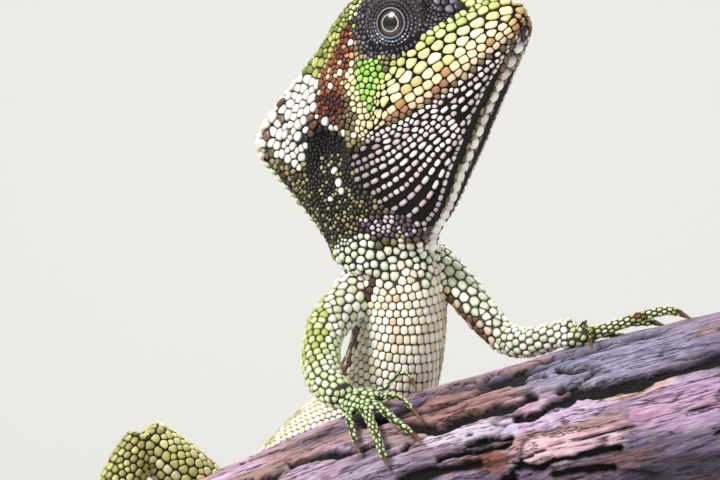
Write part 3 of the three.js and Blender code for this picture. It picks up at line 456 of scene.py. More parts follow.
TAIL = np.array([
    [-21, 25.4, -47, 4.6], [-26.5, 26, -52.4, 3.8], [-36, 26.8, -62, 3.2], [-45, 26.4, -76, 2.9],
    [-46.5, 25, -93, 2.6], [-37.5, 23.4, -108, 2.3], [-21, 22.4, -116, 2.0], [-1, 22, -116.4, 1.75],
    [18, 22.8, -110.5, 1.5], [36, 24.2, -105.5, 1.25], [54, 26, -106.5, 1.0], [70, 27.5, -112, 0.75],
    [82, 28, -119, 0.45]])
LIMBS = {
    "arm_right": {
        "upper": [[1.4, 14, -4.8, 3.4], [-1.7, 10.2, -8.4, 3.0], [-4.4, 6.8, -11.6, 2.8], [-5.1, 5.2, -13.8, 2.6]],
        "lower": [[-5.1, 5.2, -13.4, 2.6], [-5.2, 2.8, -16.6, 2.65], [-4.5, 0.2, -19.0, 2.5],
                  [-2.2, -2.4, -20.8, 2.1]],
        "palm": [(0.1, 78, 1.3), (3.0, 2.3, 1.7)],
        "digits": [(0.8, [(-1.4, 68, 0.5), (-1.1, 54, 0.4), (-0.5, 43, 0.1)]),
                   (0.9, [(0.9, 61, 0.6), (2.2, 41, 0.4), (3.2, 27, 0.1)]),
                   (0.82, [(2.4, 64, 0.6), (4.5, 49, 0.4), (7.1, 36, 0.1)]),
                   (0.7, [(3.1, 78, 0.5), (5.3, 68, 0.5), (7.1, 54, 0.1)]),
                   (0.58, [(3.3, 89, 1.1), (4.7, 90, 2.2), (6.0, 88, 2.4), (7.0, 82, 1.2)])]},
    "arm_left": {
        "upper": [[9.0, 15.4, -2.4, 3.2], [13.4, 13.2, -6.3, 2.6], [17.3, 10.6, -11, 2.35], [19.4, 9.4, -13.2, 2.1]],
        "lower": [[18.9, 9.6, -13.0, 2.2], [21.8, 6.6, -13.9, 2.15], [25.0, 3.6, -13.2, 1.95],
                  [28.6, 0.6, -11.8, 1.6]],
        "palm": [(29.2, 92, 1.0), (2.9, 2.2, 1.4)],
        "digits": [(0.6, [(29.4, 88, 2.0), (30.0, 84, 2.6), (30.5, 76, 0.3)]),
                   (0.74, [(32, 104, 0.5), (34.6, 112, 0.4), (37, 118, 0.1)]),
                   (0.86, [(33, 97, 0.6), (36.4, 100, 0.7), (39.6, 103, 0.1)]),
                   (0.98, [(33, 88, 0.6), (36.6, 88, 0.9), (40.4, 88, 1.0), (42.8, 86, 0.1)]),
                   (0.7, [(30, 112, 0.5), (31, 126, 0.4), (32, 138, 0.1)])]},
    "leg_right": {
        "upper": [[-13, 22.5, -43, 4.4], [-20.5, 18.8, -36, 4.3], [-26, 16.4, -30.2, 3.7], [-29.6, 15, -26.9, 2.9]],
        "lower": [[-29.2, 15, -27.4, 2.9], [-31.8, 13.8, -31.4, 3.0], [-34.6, 12.6, -36, 2.6],
                  [-39.8, 8.9, -41.7, 1.65]],
        "palm": [(-42.6, 122, 1.4), (4.2, 2.0, 1.7)],
        "digits": [(0.62, [(-43.6, 102, 0.5), (-42.6, 90, 0.3), (-42.2, 80, 0.1)]),
                   (0.68, [(-45.6, 102, 0.5), (-45.8, 86, 0.4), (-46, 70, 0.1)]),
                   (0.72, [(-46.8, 104, 0.5), (-48.8, 86, 0.4), (-50.6, 66, 0.1)]),
                   (0.76, [(-47.4, 108, 0.5), (-51, 92, 0.4), (-54.4, 76, 0.3), (-57, 64, 0.1)]),
                   (0.66, [(-46.8, 116, 0.5), (-50, 114, 0.4), (-52.8, 112, 0.1)])]},
    "leg_left": {
        "upper": [[-12.2, 24.6, -44.6, 4.4], [-7, 26.6, -49, 4.2], [-1.4, 28.8, -53.6, 3.6], [2.6, 29.6, -56, 2.9]],
        "lower": [[2.2, 29.2, -56, 2.8], [1.4, 25, -55, 2.8], [-1, 20.6, -52.4, 2.4], [-4.6, 12.8, -48.9, 1.7]],
        "palm": [(-5, 222, 1.4), (4.0, 2.1, 1.8)],
        "digits": [(0.62, [(-8, 230, 0.5), (-10, 234, 0.3), (-11.8, 237, 0.1)]),
                   (0.68, [(-7, 240, 0.5), (-8.2, 252, 0.4), (-9, 264, 0.1)]),
                   (0.72, [(-5, 242, 0.5), (-4.4, 260, 0.4), (-4, 278, 0.1)]),
                   (0.76, [(-3, 242, 0.5), (-0.8, 260, 0.4), (0.8, 280, 0.3), (1.6, 294, 0.1)]),
                   (0.66, [(-1.8, 232, 0.5), (1.2, 240, 0.4), (3.8, 248, 0.1)])]},
}


def on_branch(x, angle, lift):
    """A place over the bark at a given x, with the directions along the branch and outwards."""
    turn, radius = math.radians(angle), BRANCH_RADIUS + lift
    start = x
    for _ in range(5):
        low, high = 0.0, 1.0
        for _ in range(22):
            t = (low + high) / 2
            low, high = (t, high) if spline(BRANCH, [t])[0, 0] < start else (low, t)
        middle, ahead, up = (row[0] for row in branch_at(np.array([low])))
        start = x - up[0] * radius * math.sin(turn)
    place = middle + np.array([0, -1.0, 0]) * radius * math.cos(turn) + up * radius * math.sin(turn)
    return place, ahead, unit(place - middle)


COAT = {"head": 0.3, "torso": 0.28, "limb": 0.24, "tail": 0.2, "digit": 0.1}
GRID_T = np.concatenate([[0, 0.003, 0.012], np.linspace(0.03, 0.97, 60), [0.988, 0.997, 1]])
SHARE_T = np.concatenate([[0, 0.62, 0.9], np.ones(60), [0.9, 0.62, 0]])


def closed_loft(place, around=40):
    """Points and faces of a closed form, from a function of t, angle and share."""
    t, share = np.repeat(GRID_T, around), np.repeat(SHARE_T, around)
    angle = np.tile(np.arange(around) / around * 2 * math.pi, len(GRID_T))
    return place(t, angle, share), strip_faces(len(GRID_T), around, True)


def head_round(t, angle, share):
    s = (1 - np.cos(angle)) / 2
    return head_point(t, s, np.where(np.sin(angle) >= 0, 1, -1), share, -COAT["head"])


EYE_X, EYE_Z, EYE_RADIUS, EYE_SUNK = 4.5, 28.9, 3.5, 2.2
tt, ss = np.meshgrid(np.linspace(0.02, 0.98, 193), np.linspace(0.02, 0.98, 97), indexing="ij")
tt, ss = tt.ravel(), ss.ravel()
near = head_point(tt, ss, 1)
best = np.argmin(np.hypot(near[:, 0] - EYE_X, near[:, 2] - EYE_Z))
EYES = {"right": head_point(tt[[best]], ss[[best]], 1)[0] - NEAR * EYE_SUNK,
        "left": head_point(tt[[best]], ss[[best]], -1)[0] + NEAR * EYE_SUNK}
FORWARD = np.array([math.cos(HEAD_TURN), -math.sin(HEAD_TURN), 0])

forms, digit_rows, claws = [], [], []
forms.append(closed_loft(head_round, 48))
forms.append(closed_loft(lambda t, a, k: torso_point(t, a, k, -COAT["torso"]), 44))
forms.append(closed_loft(lambda t, a, k: tube_point(TAIL, t, a, k, -COAT["tail"]), 20))
for name, limb in LIMBS.items():
    for part in ("upper", "lower"):
        rows = np.array(limb[part])
        forms.append(closed_loft(lambda t, a, k: tube_point(rows, t, a, k, -COAT["limb"]), 28))
    heart, ahead, out = on_branch(*limb["palm"][0])
    across = np.cross(out, ahead)
    turn = np.stack([ahead, across, out], 1) * (np.array(limb["palm"][1]) - COAT["digit"])

    def palm(t, a, k):
        ball = np.stack([-np.cos(t * math.pi), np.sin(t * math.pi) * np.cos(a), np.sin(t * math.pi) * np.sin(a)], 1)
        return heart + ball @ turn.T
    forms.append(closed_loft(palm, 24))
    limb["heart"] = heart
    for number, (radius, places) in enumerate(limb["digits"]):
        stops = [on_branch(x, angle, lift + radius * 0.7) for x, angle, lift in places]
        points = [heart] + [stop[0] for stop in stops]
        count = len(points) - 1
        rows = np.array([[*p, radius * (1.15 if i == 0 else 1.05 - 0.3 * i / count)]
                         for i, p in enumerate(points)])
        forms.append(closed_loft(lambda t, a, k: tube_point(rows, t, a, k, -COAT["digit"]), 14))
        digit_rows.append((name, number, rows))
        claws.append((name, number, stops[-1][0], unit(stops[-1][0] - stops[-2][0]), -stops[-1][2]))
for centre, out in ((EYES["right"], NEAR), (EYES["left"], -NEAR)):
    turn = np.stack([np.cross([0, 0, 1.0], out) * 5.1, np.array([0, 0, 5.1]), out * 2.45], 1)

    def mound(t, a, k):
        ball = np.stack([-np.cos(t * math.pi), np.sin(t * math.pi) * np.cos(a), np.sin(t * math.pi) * np.sin(a)], 1)
        return centre + ball @ turn.T
    forms.append(closed_loft(mound, 30))

offsets = np.cumsum([0] + [len(points) for points, _ in forms[:-1]])
rough_points = np.concatenate([points for points, _ in forms])
rough_faces = np.concatenate([faces + start for (_, faces), start in zip(forms, offsets)])
blank = new_piece("skin_blank", rough_points * 1000 - [0, 0, ZERO], [rough_faces], None)
VOXEL = 0.36
remesh = blank.modifiers.new("remesh", "REMESH")
remesh.mode, remesh.voxel_size = "VOXEL", VOXEL
shape = bpy.data.meshes.new_from_object(blank.evaluated_get(bpy.context.evaluated_depsgraph_get()))
points = np.empty(len(shape.vertices) * 3, np.float32)
shape.vertices.foreach_get("co", points)
points = points.reshape(-1, 3).astype(float)
edges = np.empty(len(shape.edges) * 2, np.int32)
shape.edges.foreach_get("vertices", edges)
edges = edges.reshape(-1, 2)
count = np.bincount(edges.ravel(), minlength=len(points))[:, None]


def smoothed(points, times, amount=0.5):
    for _ in range(times):
        total = np.zeros_like(points)
        for axis in range(3):
            total[:, axis] = (np.bincount(edges[:, 0], points[edges[:, 1], axis], len(points))
                              + np.bincount(edges[:, 1], points[edges[:, 0], axis], len(points)))
        points = points + (total / count - points) * amount
    return points


def nearest_all(tree, points):
    return np.array([tree.find(p)[1] for p in points])


# Every place of the skin is named after the form it belongs to, with its t and its angle or s.
PARTS = ["head", "torso", "tail", "arm_right", "arm_left", "leg_right", "leg_left",
         "hand_right", "hand_left", "foot_right", "foot_left"]
FOOT = {"arm_right": "hand_right", "arm_left": "hand_left", "leg_right": "foot_right", "leg_left": "foot_left"}
samples = []


def sample(part, place, step_t, step_a, second=0):
    t, a = np.meshgrid(np.linspace(0, 1, step_t), np.arange(step_a) / step_a * 2 * math.pi, indexing="ij")
    t, a = t.ravel(), a.ravel()
    tags = np.stack([np.full(len(t), PARTS.index(part)), t, a, np.full(len(t), second)], 1)
    samples.append((place(t, a), tags))


sample("head", lambda t, a: head_round(t, a, 1.0), 200, 120)
sample("torso", torso_point, 90, 60)
sample("tail", lambda t, a: tube_point(TAIL, t, a), 300, 14)
for name, limb in LIMBS.items():
    for number, part in enumerate(("upper", "lower")):
        sample(name, lambda t, a: tube_point(np.array(limb[part]), t, a), 24, 20, number)
    sample(FOOT[name], lambda t, a: limb["heart"] + np.stack([np.cos(a), np.sin(a), t], 1), 4, 8, 9)
for name, number, rows in digit_rows:
    sample(FOOT[name], lambda t, a: tube_point(rows, t, a), 20, 8, number)
sample_points = np.concatenate([p for p, _ in samples])
sample_tags = np.concatenate([g for _, g in samples])
sample_tree = KDTree(len(sample_points))
for i, p in enumerate(sample_points):
    sample_tree.insert(p, i)
sample_tree.balance()


def head_picture(tags, points):
    """Where places on the head show, or their mirror places on the near side."""
    s, flat = (1 - np.cos(tags[:, 2])) / 2, np.zeros(len(points))
    out = (points - head_point(tags[:, 1], s, flat)) @ NEAR
    return picture_place(points - 2 * np.minimum(out, 0)[:, None] * NEAR)


MOUTH = [(525, 14), (513, 12.8), (499.5, 16.5), (476, 28.5), (446, 45), (420, 60.7), (397.5, 78),
         (379.5, 102), (370.5, 130)]
EAR, NOSTRIL = (328, 149), (468, 9)
points = smoothed(points, 5)
tags = sample_tags[nearest_all(sample_tree, points)]
normals = np.empty(len(points) * 3, np.float32)
shape.vertices.foreach_get("normal", normals)
normals = normals.reshape(-1, 3).astype(float)
is_head = tags[:, 0] == 0
u, v = np.full(len(points), -999.0), np.full(len(points), -999.0)
u[is_head], v[is_head] = head_picture(tags[is_head], points[is_head])
sink = np.zeros(len(points))
sink[is_head] += 0.4 * np.exp(-(from_line(u[is_head], v[is_head], MOUTH) / 3.0) ** 2)
sink += 1.3 * np.exp(-((u - EAR[0]) / 14) ** 4 - ((v - EAR[1]) / 20) ** 4)
sink += 0.7 * np.exp(-(np.hypot(u - NOSTRIL[0], v - NOSTRIL[1]) / 3.4) ** 2)
for centre in EYES.values():
    far = points - centre
    level = far @ NEAR
    sink += 2.2 * np.exp(-(np.linalg.norm(far - level[:, None] * NEAR, axis=1) / 2.1) ** 4) * (
        np.linalg.norm(far, axis=1) < 4.5)
points = smoothed(points - normals * sink[:, None], 2, 0.3)
bpy.data.objects.remove(blank)
skin_faces = np.empty(len(shape.loops), np.int32)
shape.loops.foreach_get("vertex_index", skin_faces)
skin_faces = skin_faces.reshape(-1, 4)
skin_tree = BVHTree.FromPolygons(points.tolist(), skin_faces.tolist())

# The markings, first of the head: a main and a second colour with the share of scales that have
# the second, then the patch as u, v, half width, half height and lean in the picture.
PATCHES = [
    ("#3A3020", "#948A5C", 0.36, 320, 196, 60, 70, 0),
    ("#ECE7DA", "#B9A283", 0.14, 296, 100, 30, 66, 38),
    ("#EEEAE0", "#7A5C44", 0.2, 290, 128, 38, 30, 40),
    ("#B4B860", "#7E8A3C", 0.4, 340, 38, 13, 46, 38),
    ("#9AA84A", "#D9DA96", 0.4, 362, 4, 12, 26, 20),
    ("#8F5230", "#D9C39C", 0.3, 335, 78, 13, 38, 20),
    ("#6E2C1A", "#C98F5E", 0.25, 347, 52, 9, 22, 8),
    ("#451A14", "#8A3F22", 0.3, 328, 108, 17, 14, 0),
    ("#5A3A28", "#F0E8D8", 0.35, 322, 128, 26, 12, 0),
    ("#EBE7B4", "#D8D592", 0.3, 357, 96, 8, 34, -14),
    ("#E9DCB4", "#E8E3B0", 0.3, 365, 118, 9, 20, -10),
    ("#8CC445", "#B2D96C", 0.4, 371, 80, 12.5, 27, 4),
    ("#D5D58A", "#E9E3A4", 0.4, 470, 6, 40, 20, 0),
    ("#2C2228", "#6B6070", 0.25, 440, 12, 17, 17, 0),
    ("#574C58", "#2A2026", 0.4, 393, 22, 38, 38, 0),
    ("#C8963E", "#8E5E22", 0.3, 519, 12, 12, 16, 0),
    ("#17100F", "#3A2A22", 0.2, 527, 28, 7, 14, 0),
    ("#080606", "#1E1815", 0.12, 327, 152, 21, 27, 0),
    ("#241C14", "#A39B70", 0.3, 332, 196, 20, 44, 8),
    ("#5E4E5C", "#CFC2CB", 0.45, 402, 226, 46, 12, 6),
    ("#F0ECDC", "#DCE2C6", 0.4, 400, 276, 72, 33, 0),
    ("#DCE6C6", "#F1F2E6", 0.5, 358, 254, 26, 17, 0),
]


def lighter(first, second, share, pick):
    """The main or the second colour for each pick, or their mean where nothing is picked."""
    a, b = linear(first), linear(second)
    if pick is None:
        return a + (b - a) * share
    return np.where((pick < share)[:, None], b, a)


def markings_and_painted_shade(tags, points, pick=None, edge=None):
    """The colour of the animal at each place, in crisp scales where pick is given, with painted shade on the chest
    beside the right arm and under the left arm.
    """
    part, t, b = tags[:, 0].astype(int), tags[:, 1], np.abs((tags[:, 2] + math.pi) % (2 * math.pi) - math.pi)
    chosen = lambda rows: None if pick is None else pick[rows]
    colour = np.zeros((len(points), 3))

    def lay(rows, weight, first, second, share):
        weight = np.clip(weight, 0, 1)
        if edge is not None:
            weight = (weight > 0.15 + 0.7 * edge[rows]).astype(float)
        colour[rows] += (lighter(first, second, share, chosen(rows)) - colour[rows]) * weight[:, None]

    rows = np.flatnonzero(part == 0)
    u, v = head_picture(tags[rows], points[rows])
    warp = [4 * noise(points[rows], 2.4, k) for k in (3, 4)]
    lay(rows, np.ones(len(rows)), "#6B5B3A", "#9A8E62", 0.3)
    for first, second, share, pu, pv, wide, tall, lean in PATCHES:
        c, s = math.cos(math.radians(lean)), math.sin(math.radians(lean))
        du, dv = u + warp[0] - pu, v + warp[1] - pv
        lay(rows, (1.2 - np.hypot((du * c + dv * s) / wide, (dv * c - du * s) / tall)) / 0.35, first, second, share)
    rows = np.flatnonzero(part == 0)
    front = from_line(u, v, [(526, 40), (517, 78), (505, 112), (496, 140), (484, 170), (466, 205), (452, 232)])
    lay(rows, (13.5 - front) / 3, "#2A1D22", "#CFC0C4", 0.3)
    rows = np.flatnonzero(part == 1)
    soft = noise(points[rows], 5, 9, 2)
    band = np.sin(points[rows, 2] * 0.7 + 2 * soft)
    lay(rows, np.ones(len(rows)), "#7F7A4C", "#9C9460", 0.35)
    lay(rows, (1 - b[rows]) * 2 + band * 2, "#4E4229", "#6E6238", 0.3)
    lay(rows, (b[rows] - 1.15 + 0.3 * soft) / 0.5, "#C3B98C", "#A39A62", 0.3)
    lay(rows, (b[rows] - 1.6 + 0.25 * soft) / 0.4, "#F2ECDA", "#E6D9BC", 0.35)
    pu, pv = picture_place(points[rows])
    middle = from_line(pu, pv, [(398, 258), (396, 290), (394, 330)])
    lay(rows, (5 - middle) / 6 * (b[rows] > 1.6), "#D9C29C", "#E6D9BC", 0.5)
    # Painted shade: a dark brown band on the chest along the edge of the right arm.
    painted_shade_beside_arm = from_line(pu, pv, [(369, 288), (362, 312), (352, 342), (342, 372)])
    lay(rows, (9 - painted_shade_beside_arm) / 6 * (b[rows] > 0.9), "#4A2A1C", "#B08C64", 0.25)
    green = ((t[rows] < 0.3) & (points[rows, 0] < 2.5)) * (1 - points[rows, 0] / 4 + soft)
    lay(rows, green, "#DDE8C8", "#EEF0DE", 0.5)
    rows = np.flatnonzero(part == 2)
    band = np.sin(t[rows] * 118 + noise(points[rows], 6, 2))
    lay(rows, np.ones(len(rows)), "#A89F6C", "#C2B88A", 0.35)
    lay(rows, band * 1.6, "#5E4F31", "#7A6A42", 0.3)
    colours = {"arm_right": ("#F0EEDF", "#D9DDB8", "#CFDDA6", "#E2E9C4"), "hand_right": ("#C8DDAA", "#B2CB8C"),
               "arm_left": ("#E4E6D2", "#C6CDB0", "#E9E8D6", "#CBD6B2"), "hand_left": ("#D5DBB4", "#BFC98C"),
               "leg_right": ("#C9C878", "#E3DDA4", "#B9BD70", "#9A9450"), "foot_right": ("#B5BD78", "#8E8A4E"),
               "leg_left": ("#C9C878", "#A39C58", "#B9BD70", "#9A9450"), "foot_left": ("#B5BD78", "#8E8A4E")}
    for name, tones in colours.items():
        rows = np.flatnonzero(part == PARTS.index(name))
        if name in FOOT:
            lower = tags[rows, 3] == 1
            lay(rows, np.ones(len(rows)), tones[0], tones[1], 0.4)
            lay(rows, lower * 1.0 + (t[rows] - 0.85) * 8 * ~lower, tones[2], tones[3], 0.4)
            if name == "arm_right":
                elbow = (-points[rows, 0] - 3.6) / 1.6 * (points[rows, 2] > -16)
                lay(rows, elbow, "#B0BE62", "#D6DDA0", 0.4)
                lay(rows, (points[rows, 1] - 8) / 3 * lower + (points[rows, 2] < -20.2), "#BFD9A2", "#CDDFB2", 0.4)
            dark = noise(points[rows], 4.5, 21, 2) * 2.2 - (1.2 if name == "arm_left" else 0.75)
            lay(rows, dark * ("leg" in name or name == "arm_left"), "#6B5A34", "#8A7A4A", 0.3)
            if name == "arm_left":
                # Painted shade: a brown band along the underside of the left upper arm.
                painted_shade_under_arm = from_line(*picture_place(points[rows]), [(447, 296), (462, 315), (478, 331), (494, 345)])
                lay(rows, (10 - painted_shade_under_arm) / 4 * ~lower, "#65483A", "#CDB99C", 0.45)
        else:
            band = np.sin(t[rows] * 15) * 1.4 - 0.5
            lay(rows, np.ones(len(rows)), tones[0], tones[1], 0.4)
            olive = ("#C2D692", "#AFC080") if name == "hand_right" else ("#A9AE52", "#6B5A2E")
            lay(rows, (band + t[rows] * 0.5) * (tags[rows, 3] != 9), *olive, 0.45)
    return colour


bare_skin, tree = new_tree("thin_reptile_skin")
# Bare hide between scales is matt and finely creased, about 0.25 mm from crease to crease.
tint = add(tree, "ShaderNodeAttribute", attribute_name="tint")
where = add(tree, "ShaderNodeTexCoord")
crease = add(tree, "ShaderNodeTexVoronoi", {"Vector": where.outputs["Object"], "Scale": 4000})
folds = add(tree, "ShaderNodeBump", {"Height": crease.outputs["Distance"], "Strength": 0.4, "Distance": 0.0001})
mottle = add(tree, "ShaderNodeTexNoise", {"Vector": where.outputs["Object"], "Scale": 900, "Detail": 3})
tone = add(tree, "ShaderNodeMix", {0: 0.5, 6: tint.outputs["Color"], 7: mottle.outputs["Fac"]},
           data_type="RGBA", blend_type="MULTIPLY")
finish(tree, add(tree, "ShaderNodeBsdfPrincipled", {
    "Base Color": tone.outputs[2], "Roughness": 0.7, "Specular IOR Level": 0.15, "Normal": folds.outputs[0]}))


skin = new_piece("skin", points, [skin_faces], bare_skin)
hide_tone = markings_and_painted_shade(tags, points)
belly = ((tags[:, 0] == 1) | (np.isin(tags[:, 0], [3, 4, 7, 8])))[:, None]
DARK_SKIN = np.where(belly, linear("#2E1D14"), linear("#0C0708"))
paint_points(skin, "tint", DARK_SKIN + np.where(belly, 0.07, 0.03) * hide_tone)
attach(skin, "root")
FLESH = ["head", "lower_jaw", "throat_pouch", "neck", "torso_front", "torso_rear"]
FLESH += [f"tail_{i}" for i in range(1, 6)]
FLESH += [f"{part}_{side}" for side in ("right", "left")
          for part in ("upper_arm", "forearm", "hand", "thigh", "shank", "foot")]
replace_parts(skin, *FLESH)


# ---- Eyes ----------------------------------------------------------------------------------
# Glass eyes, with a round black pupil in a thin pale ring, a dark brown iris, and a clear
# bulging front. Each sits in the skin and looks straight out to its side.
def lathe(centre, out, profile, around=72):
    """Points round the gaze axis for a profile of radius and height, and each point's angle."""
    across = unit(np.cross([0, 0, 1.0], out))
    up = np.cross(out, across)
    angle = np.arange(around) / around * 2 * math.pi
    ring = across * np.cos(angle)[:, None] + up * np.sin(angle)[:, None]
    radius, height = np.asarray(profile, float).T
    if radius.ndim == 1:
        radius, height = radius[:, None], height[:, None]
    points = centre + ring[None] * radius[..., None] + out * height[..., None]
    return points.reshape(-1, 3), np.tile(angle, len(profile))


glass_eye, tree = new_tree("cast_glass_eye")
out_from = add(tree, "ShaderNodeAttribute", attribute_name="from_pupil")
where = add(tree, "ShaderNodeTexCoord")
streaks = add(tree, "ShaderNodeTexNoise", {"Vector": where.outputs["Object"], "Scale": 3500, "Detail": 3})
wander = add(tree, "ShaderNodeMath", {0: streaks.outputs["Fac"], 1: 0.14, 2: -0.07}, operation="MULTIPLY_ADD")
radius = add(tree, "ShaderNodeMath", {0: out_from.outputs["Fac"], 1: wander.outputs[0]}, operation="ADD")
share = add(tree, "ShaderNodeMath", {0: radius.outputs[0], 1: 2.0}, operation="DIVIDE")
iris = add(tree, "ShaderNodeValToRGB", {"Fac": share.outputs[0]}, stops=[
    (0, "#020202"), (0.53, "#030303"), (0.56, "#C9BEB2"), (0.605, "#A99C92"), (0.635, "#1C1210"),
    (0.75, "#38241C"), (0.85, "#120C0B"), (0.93, "#080606")])
finish(tree, add(tree, "ShaderNodeBsdfPrincipled", {
    "Base Color": iris.outputs["Color"], "Roughness": 0.25, "Coat Weight": 1.0, "Coat Roughness": 0.03,
    "Specular IOR Level": 0.4}))
for side, out in (("right", NEAR), ("left", -NEAR)):
    lean = np.concatenate([np.linspace(0, 0.8, 60), np.linspace(0.83, math.pi, 24)])
    profile = np.stack([EYE_RADIUS * np.sin(lean), EYE_RADIUS * np.cos(lean)], 1)
    ball, _ = lathe(EYES[side], out, profile)
    eye = new_piece(f"glass_eye_{side}", ball, [strip_faces(len(lean), 72, True)[:, ::-1]], glass_eye)
    eye.data.attributes.new("from_pupil", "FLOAT", "POINT").data.foreach_set(
        "value", np.repeat(np.where(lean < 1.5, profile[:, 0], 3.5), 72).astype(np.float32))
    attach(eye, "root")
    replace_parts(eye, f"eye_{side}")


# ---- Lids ----------------------------------------------------------------------------------
# Soft round lids, folded in rings round each eye, grey and purple with fine pale beads on the
# ridges and black grooves between them.
LID_RIDGES = [(1.72, 2.6), (1.8, 3.0), (1.92, 3.16), (2.08, 3.14), (2.2, 2.92), (2.3, 2.8), (2.45, 2.9), (2.62, 2.88),
              (2.75, 2.66), (2.85, 2.62), (3.0, 2.72), (3.2, 2.66), (3.32, 2.42), (3.44, 2.4), (3.62, 2.5),
              (3.82, 2.38), (3.98, 2.1), (4.2, 1.98), (4.5, 1.3)]
lid_skin, tree = new_tree("folded_lid_skin")
# Thin hide, slightly damp, with beads about 0.2 mm across.
tint = add(tree, "ShaderNodeAttribute", attribute_name="tint")
where = add(tree, "ShaderNodeTexCoord")
bead = add(tree, "ShaderNodeTexVoronoi", {"Vector": where.outputs["Object"], "Scale": 4500})
beads = add(tree, "ShaderNodeBump", {"Height": bead.outputs["Distance"], "Strength": 0.5, "Distance": 0.0001},
            invert=True)
mottle = add(tree, "ShaderNodeTexNoise", {"Vector": where.outputs["Object"], "Scale": 1800, "Detail": 3})
tone = add(tree, "ShaderNodeMix", {0: 0.45, 6: tint.outputs["Color"], 7: mottle.outputs["Color"]},
           data_type="RGBA", blend_type="OVERLAY")
finish(tree, add(tree, "ShaderNodeBsdfPrincipled", {
    "Base Color": tone.outputs[2], "Roughness": 0.42, "Normal": beads.outputs[0]}))
lid_forms = []
for side, out in (("right", NEAR), ("left", -NEAR)):
    smooth = spline(LID_RIDGES, np.linspace(0, 1, 110))
    ring, angle = lathe(EYES[side], out, smooth, 150)
    radius, height = np.repeat(smooth[:, 0], 150), np.repeat(smooth[:, 1], 150)
    wobble = noise(ring, 1.3, 12, 2)
    ring = ring + out * (0.12 * wobble * (radius > 2.1))[:, None]
    rim = np.clip(1 - np.abs(radius - 2.02) / 0.13, 0, 1)
    colour = linear("#1C1418") + (linear("#9AA0B2") - linear("#1C1418")) * (rim * (0.8 + 0.2 * wobble))[:, None]
    lids = new_piece(f"lids_{side}", ring, [strip_faces(110, 150, True)[:, ::-1]], lid_skin)
    paint_points(lids, "tint", colour)
    lid_forms.append((ring, strip_faces(110, 150, True)))
    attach(lids, "root")
    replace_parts(lids, "head")


# ---- Scale places --------------------------------------------------------------------------
# Real scales lie in rows from nose to tail. Those on the lips and throat follow the jaw in long
# rows, the casque has big rough ones, and the neck has fine grains with big ones here and there.
random = np.random.default_rng(11)
grid_t, grid_s = (g.ravel() for g in np.meshgrid(np.linspace(0.004, 0.996, 460), np.linspace(0.004, 0.996, 240),
                                                 indexing="ij"))
lid_start = len(points) + len(lid_forms[0][0])
ground_tree = BVHTree.FromPolygons(
    points.tolist() + lid_forms[0][0].tolist() + lid_forms[1][0].tolist(),
    skin_faces.tolist() + (lid_forms[0][1][:, ::-1] + len(points)).tolist()
    + (lid_forms[1][1][:, ::-1] + lid_start).tolist())
grid_u, grid_v = picture_place(head_point(grid_t, grid_s, np.ones(len(grid_t))))
picture_tree = KDTree(len(grid_t))
for i, place in enumerate(zip(grid_u, grid_v)):
    picture_tree.insert((*place, 0), i)
picture_tree.balance()
# One row of the table for each scale: place 0-2, lie 3-5, tag 6-9, length 10, width 11, spacing
# 12, height 13, keel 14, tilt 15, flatness 16, its own colour 17-19 (or -1), and its coat 20.
COATS = ["scales_lids", "scales_lips", "scales_throat", "scales_head", "scales_neck", "scales_chest", "scales_back",
         "scales_tail_root", "scales_tail_tip", "scales_arms", "scales_legs", "scales_hands_and_feet"]
seeds = []


def sow(coat, spots, lies, tags, long, wide, space, high, keel=0.0, tilt=0.0, flat=0.5, colour=None):
    table = np.full((len(spots), 21), -1.0)
    table[:, 0:3], table[:, 3:6], table[:, 6:10] = spots, lies, tags
    for column, value in ((10, long), (11, wide), (12, space), (13, high), (14, keel), (15, tilt), (16, flat)):
        table[:, column] = value
    if colour is not None:
        table[:, 17:20] = colour
    table[:, 20] = COATS.index(coat)
    seeds.append(table)


def head_seeds(coat, t, s, lies=None, **sizes):
    """Sows scales on both sides of the head at the same t and s."""
    for side in (1, -1):
        spots = head_point(t, s, np.full(len(t), side), 1.0, -COAT["head"])
        if lies is None:
            way = head_point(t + 0.004, s, np.full(len(t), side)) - head_point(t - 0.004, s, np.full(len(t), side))
        else:
            way = lies if side == 1 else lies - 2 * (lies @ NEAR)[:, None] * NEAR
        tags = np.stack([0 * t, t, side * np.arccos(1 - 2 * s), 0 * t], 1)
        sow(coat, spots, unit(way), tags, **sizes)


def head_row(coat, curve, step, wide, high, phase=0.0, shade=None, **sizes):
    """Sows a row of scales along a curve of the picture, a step in pixels apart."""
    curve, step = np.asarray(curve, float), np.broadcast_to(step, len(curve)).astype(float)
    gone = np.hypot(*np.diff(curve, axis=0).T)
    count = np.concatenate([[0], np.cumsum(gone / ((step[1:] + step[:-1]) / 2))])
    stops = np.arange(0.5 + phase, count[-1], 1.0)
    stops = stops + random.uniform(-0.07, 0.07, len(stops))
    at = np.interp(stops, count, np.arange(len(curve)))
    u, v = (np.interp(at, np.arange(len(curve)), curve[:, k]) for k in (0, 1))
    found = np.array([picture_tree.find((a, b, 0))[1] for a, b in zip(u, v)])
    t, s = grid_t[found], grid_s[found]
    path = head_point(t, s, np.ones(len(t)))
    lies = unit(np.gradient(path, axis=0))
    step_mm = np.interp(at, np.arange(len(curve)), step) / PX_PER_MM
    wide_mm = np.interp(at, np.arange(len(curve)), np.broadcast_to(wide, len(curve))) / PX_PER_MM
    colour = None if shade is None else shade(u, v, random.uniform(0, 1, len(u)))
    head_seeds(coat, t, s, lies, long=step_mm * 0.56, wide=wide_mm * 0.56, space=np.minimum(step_mm, wide_mm),
               high=high, colour=colour, **sizes)


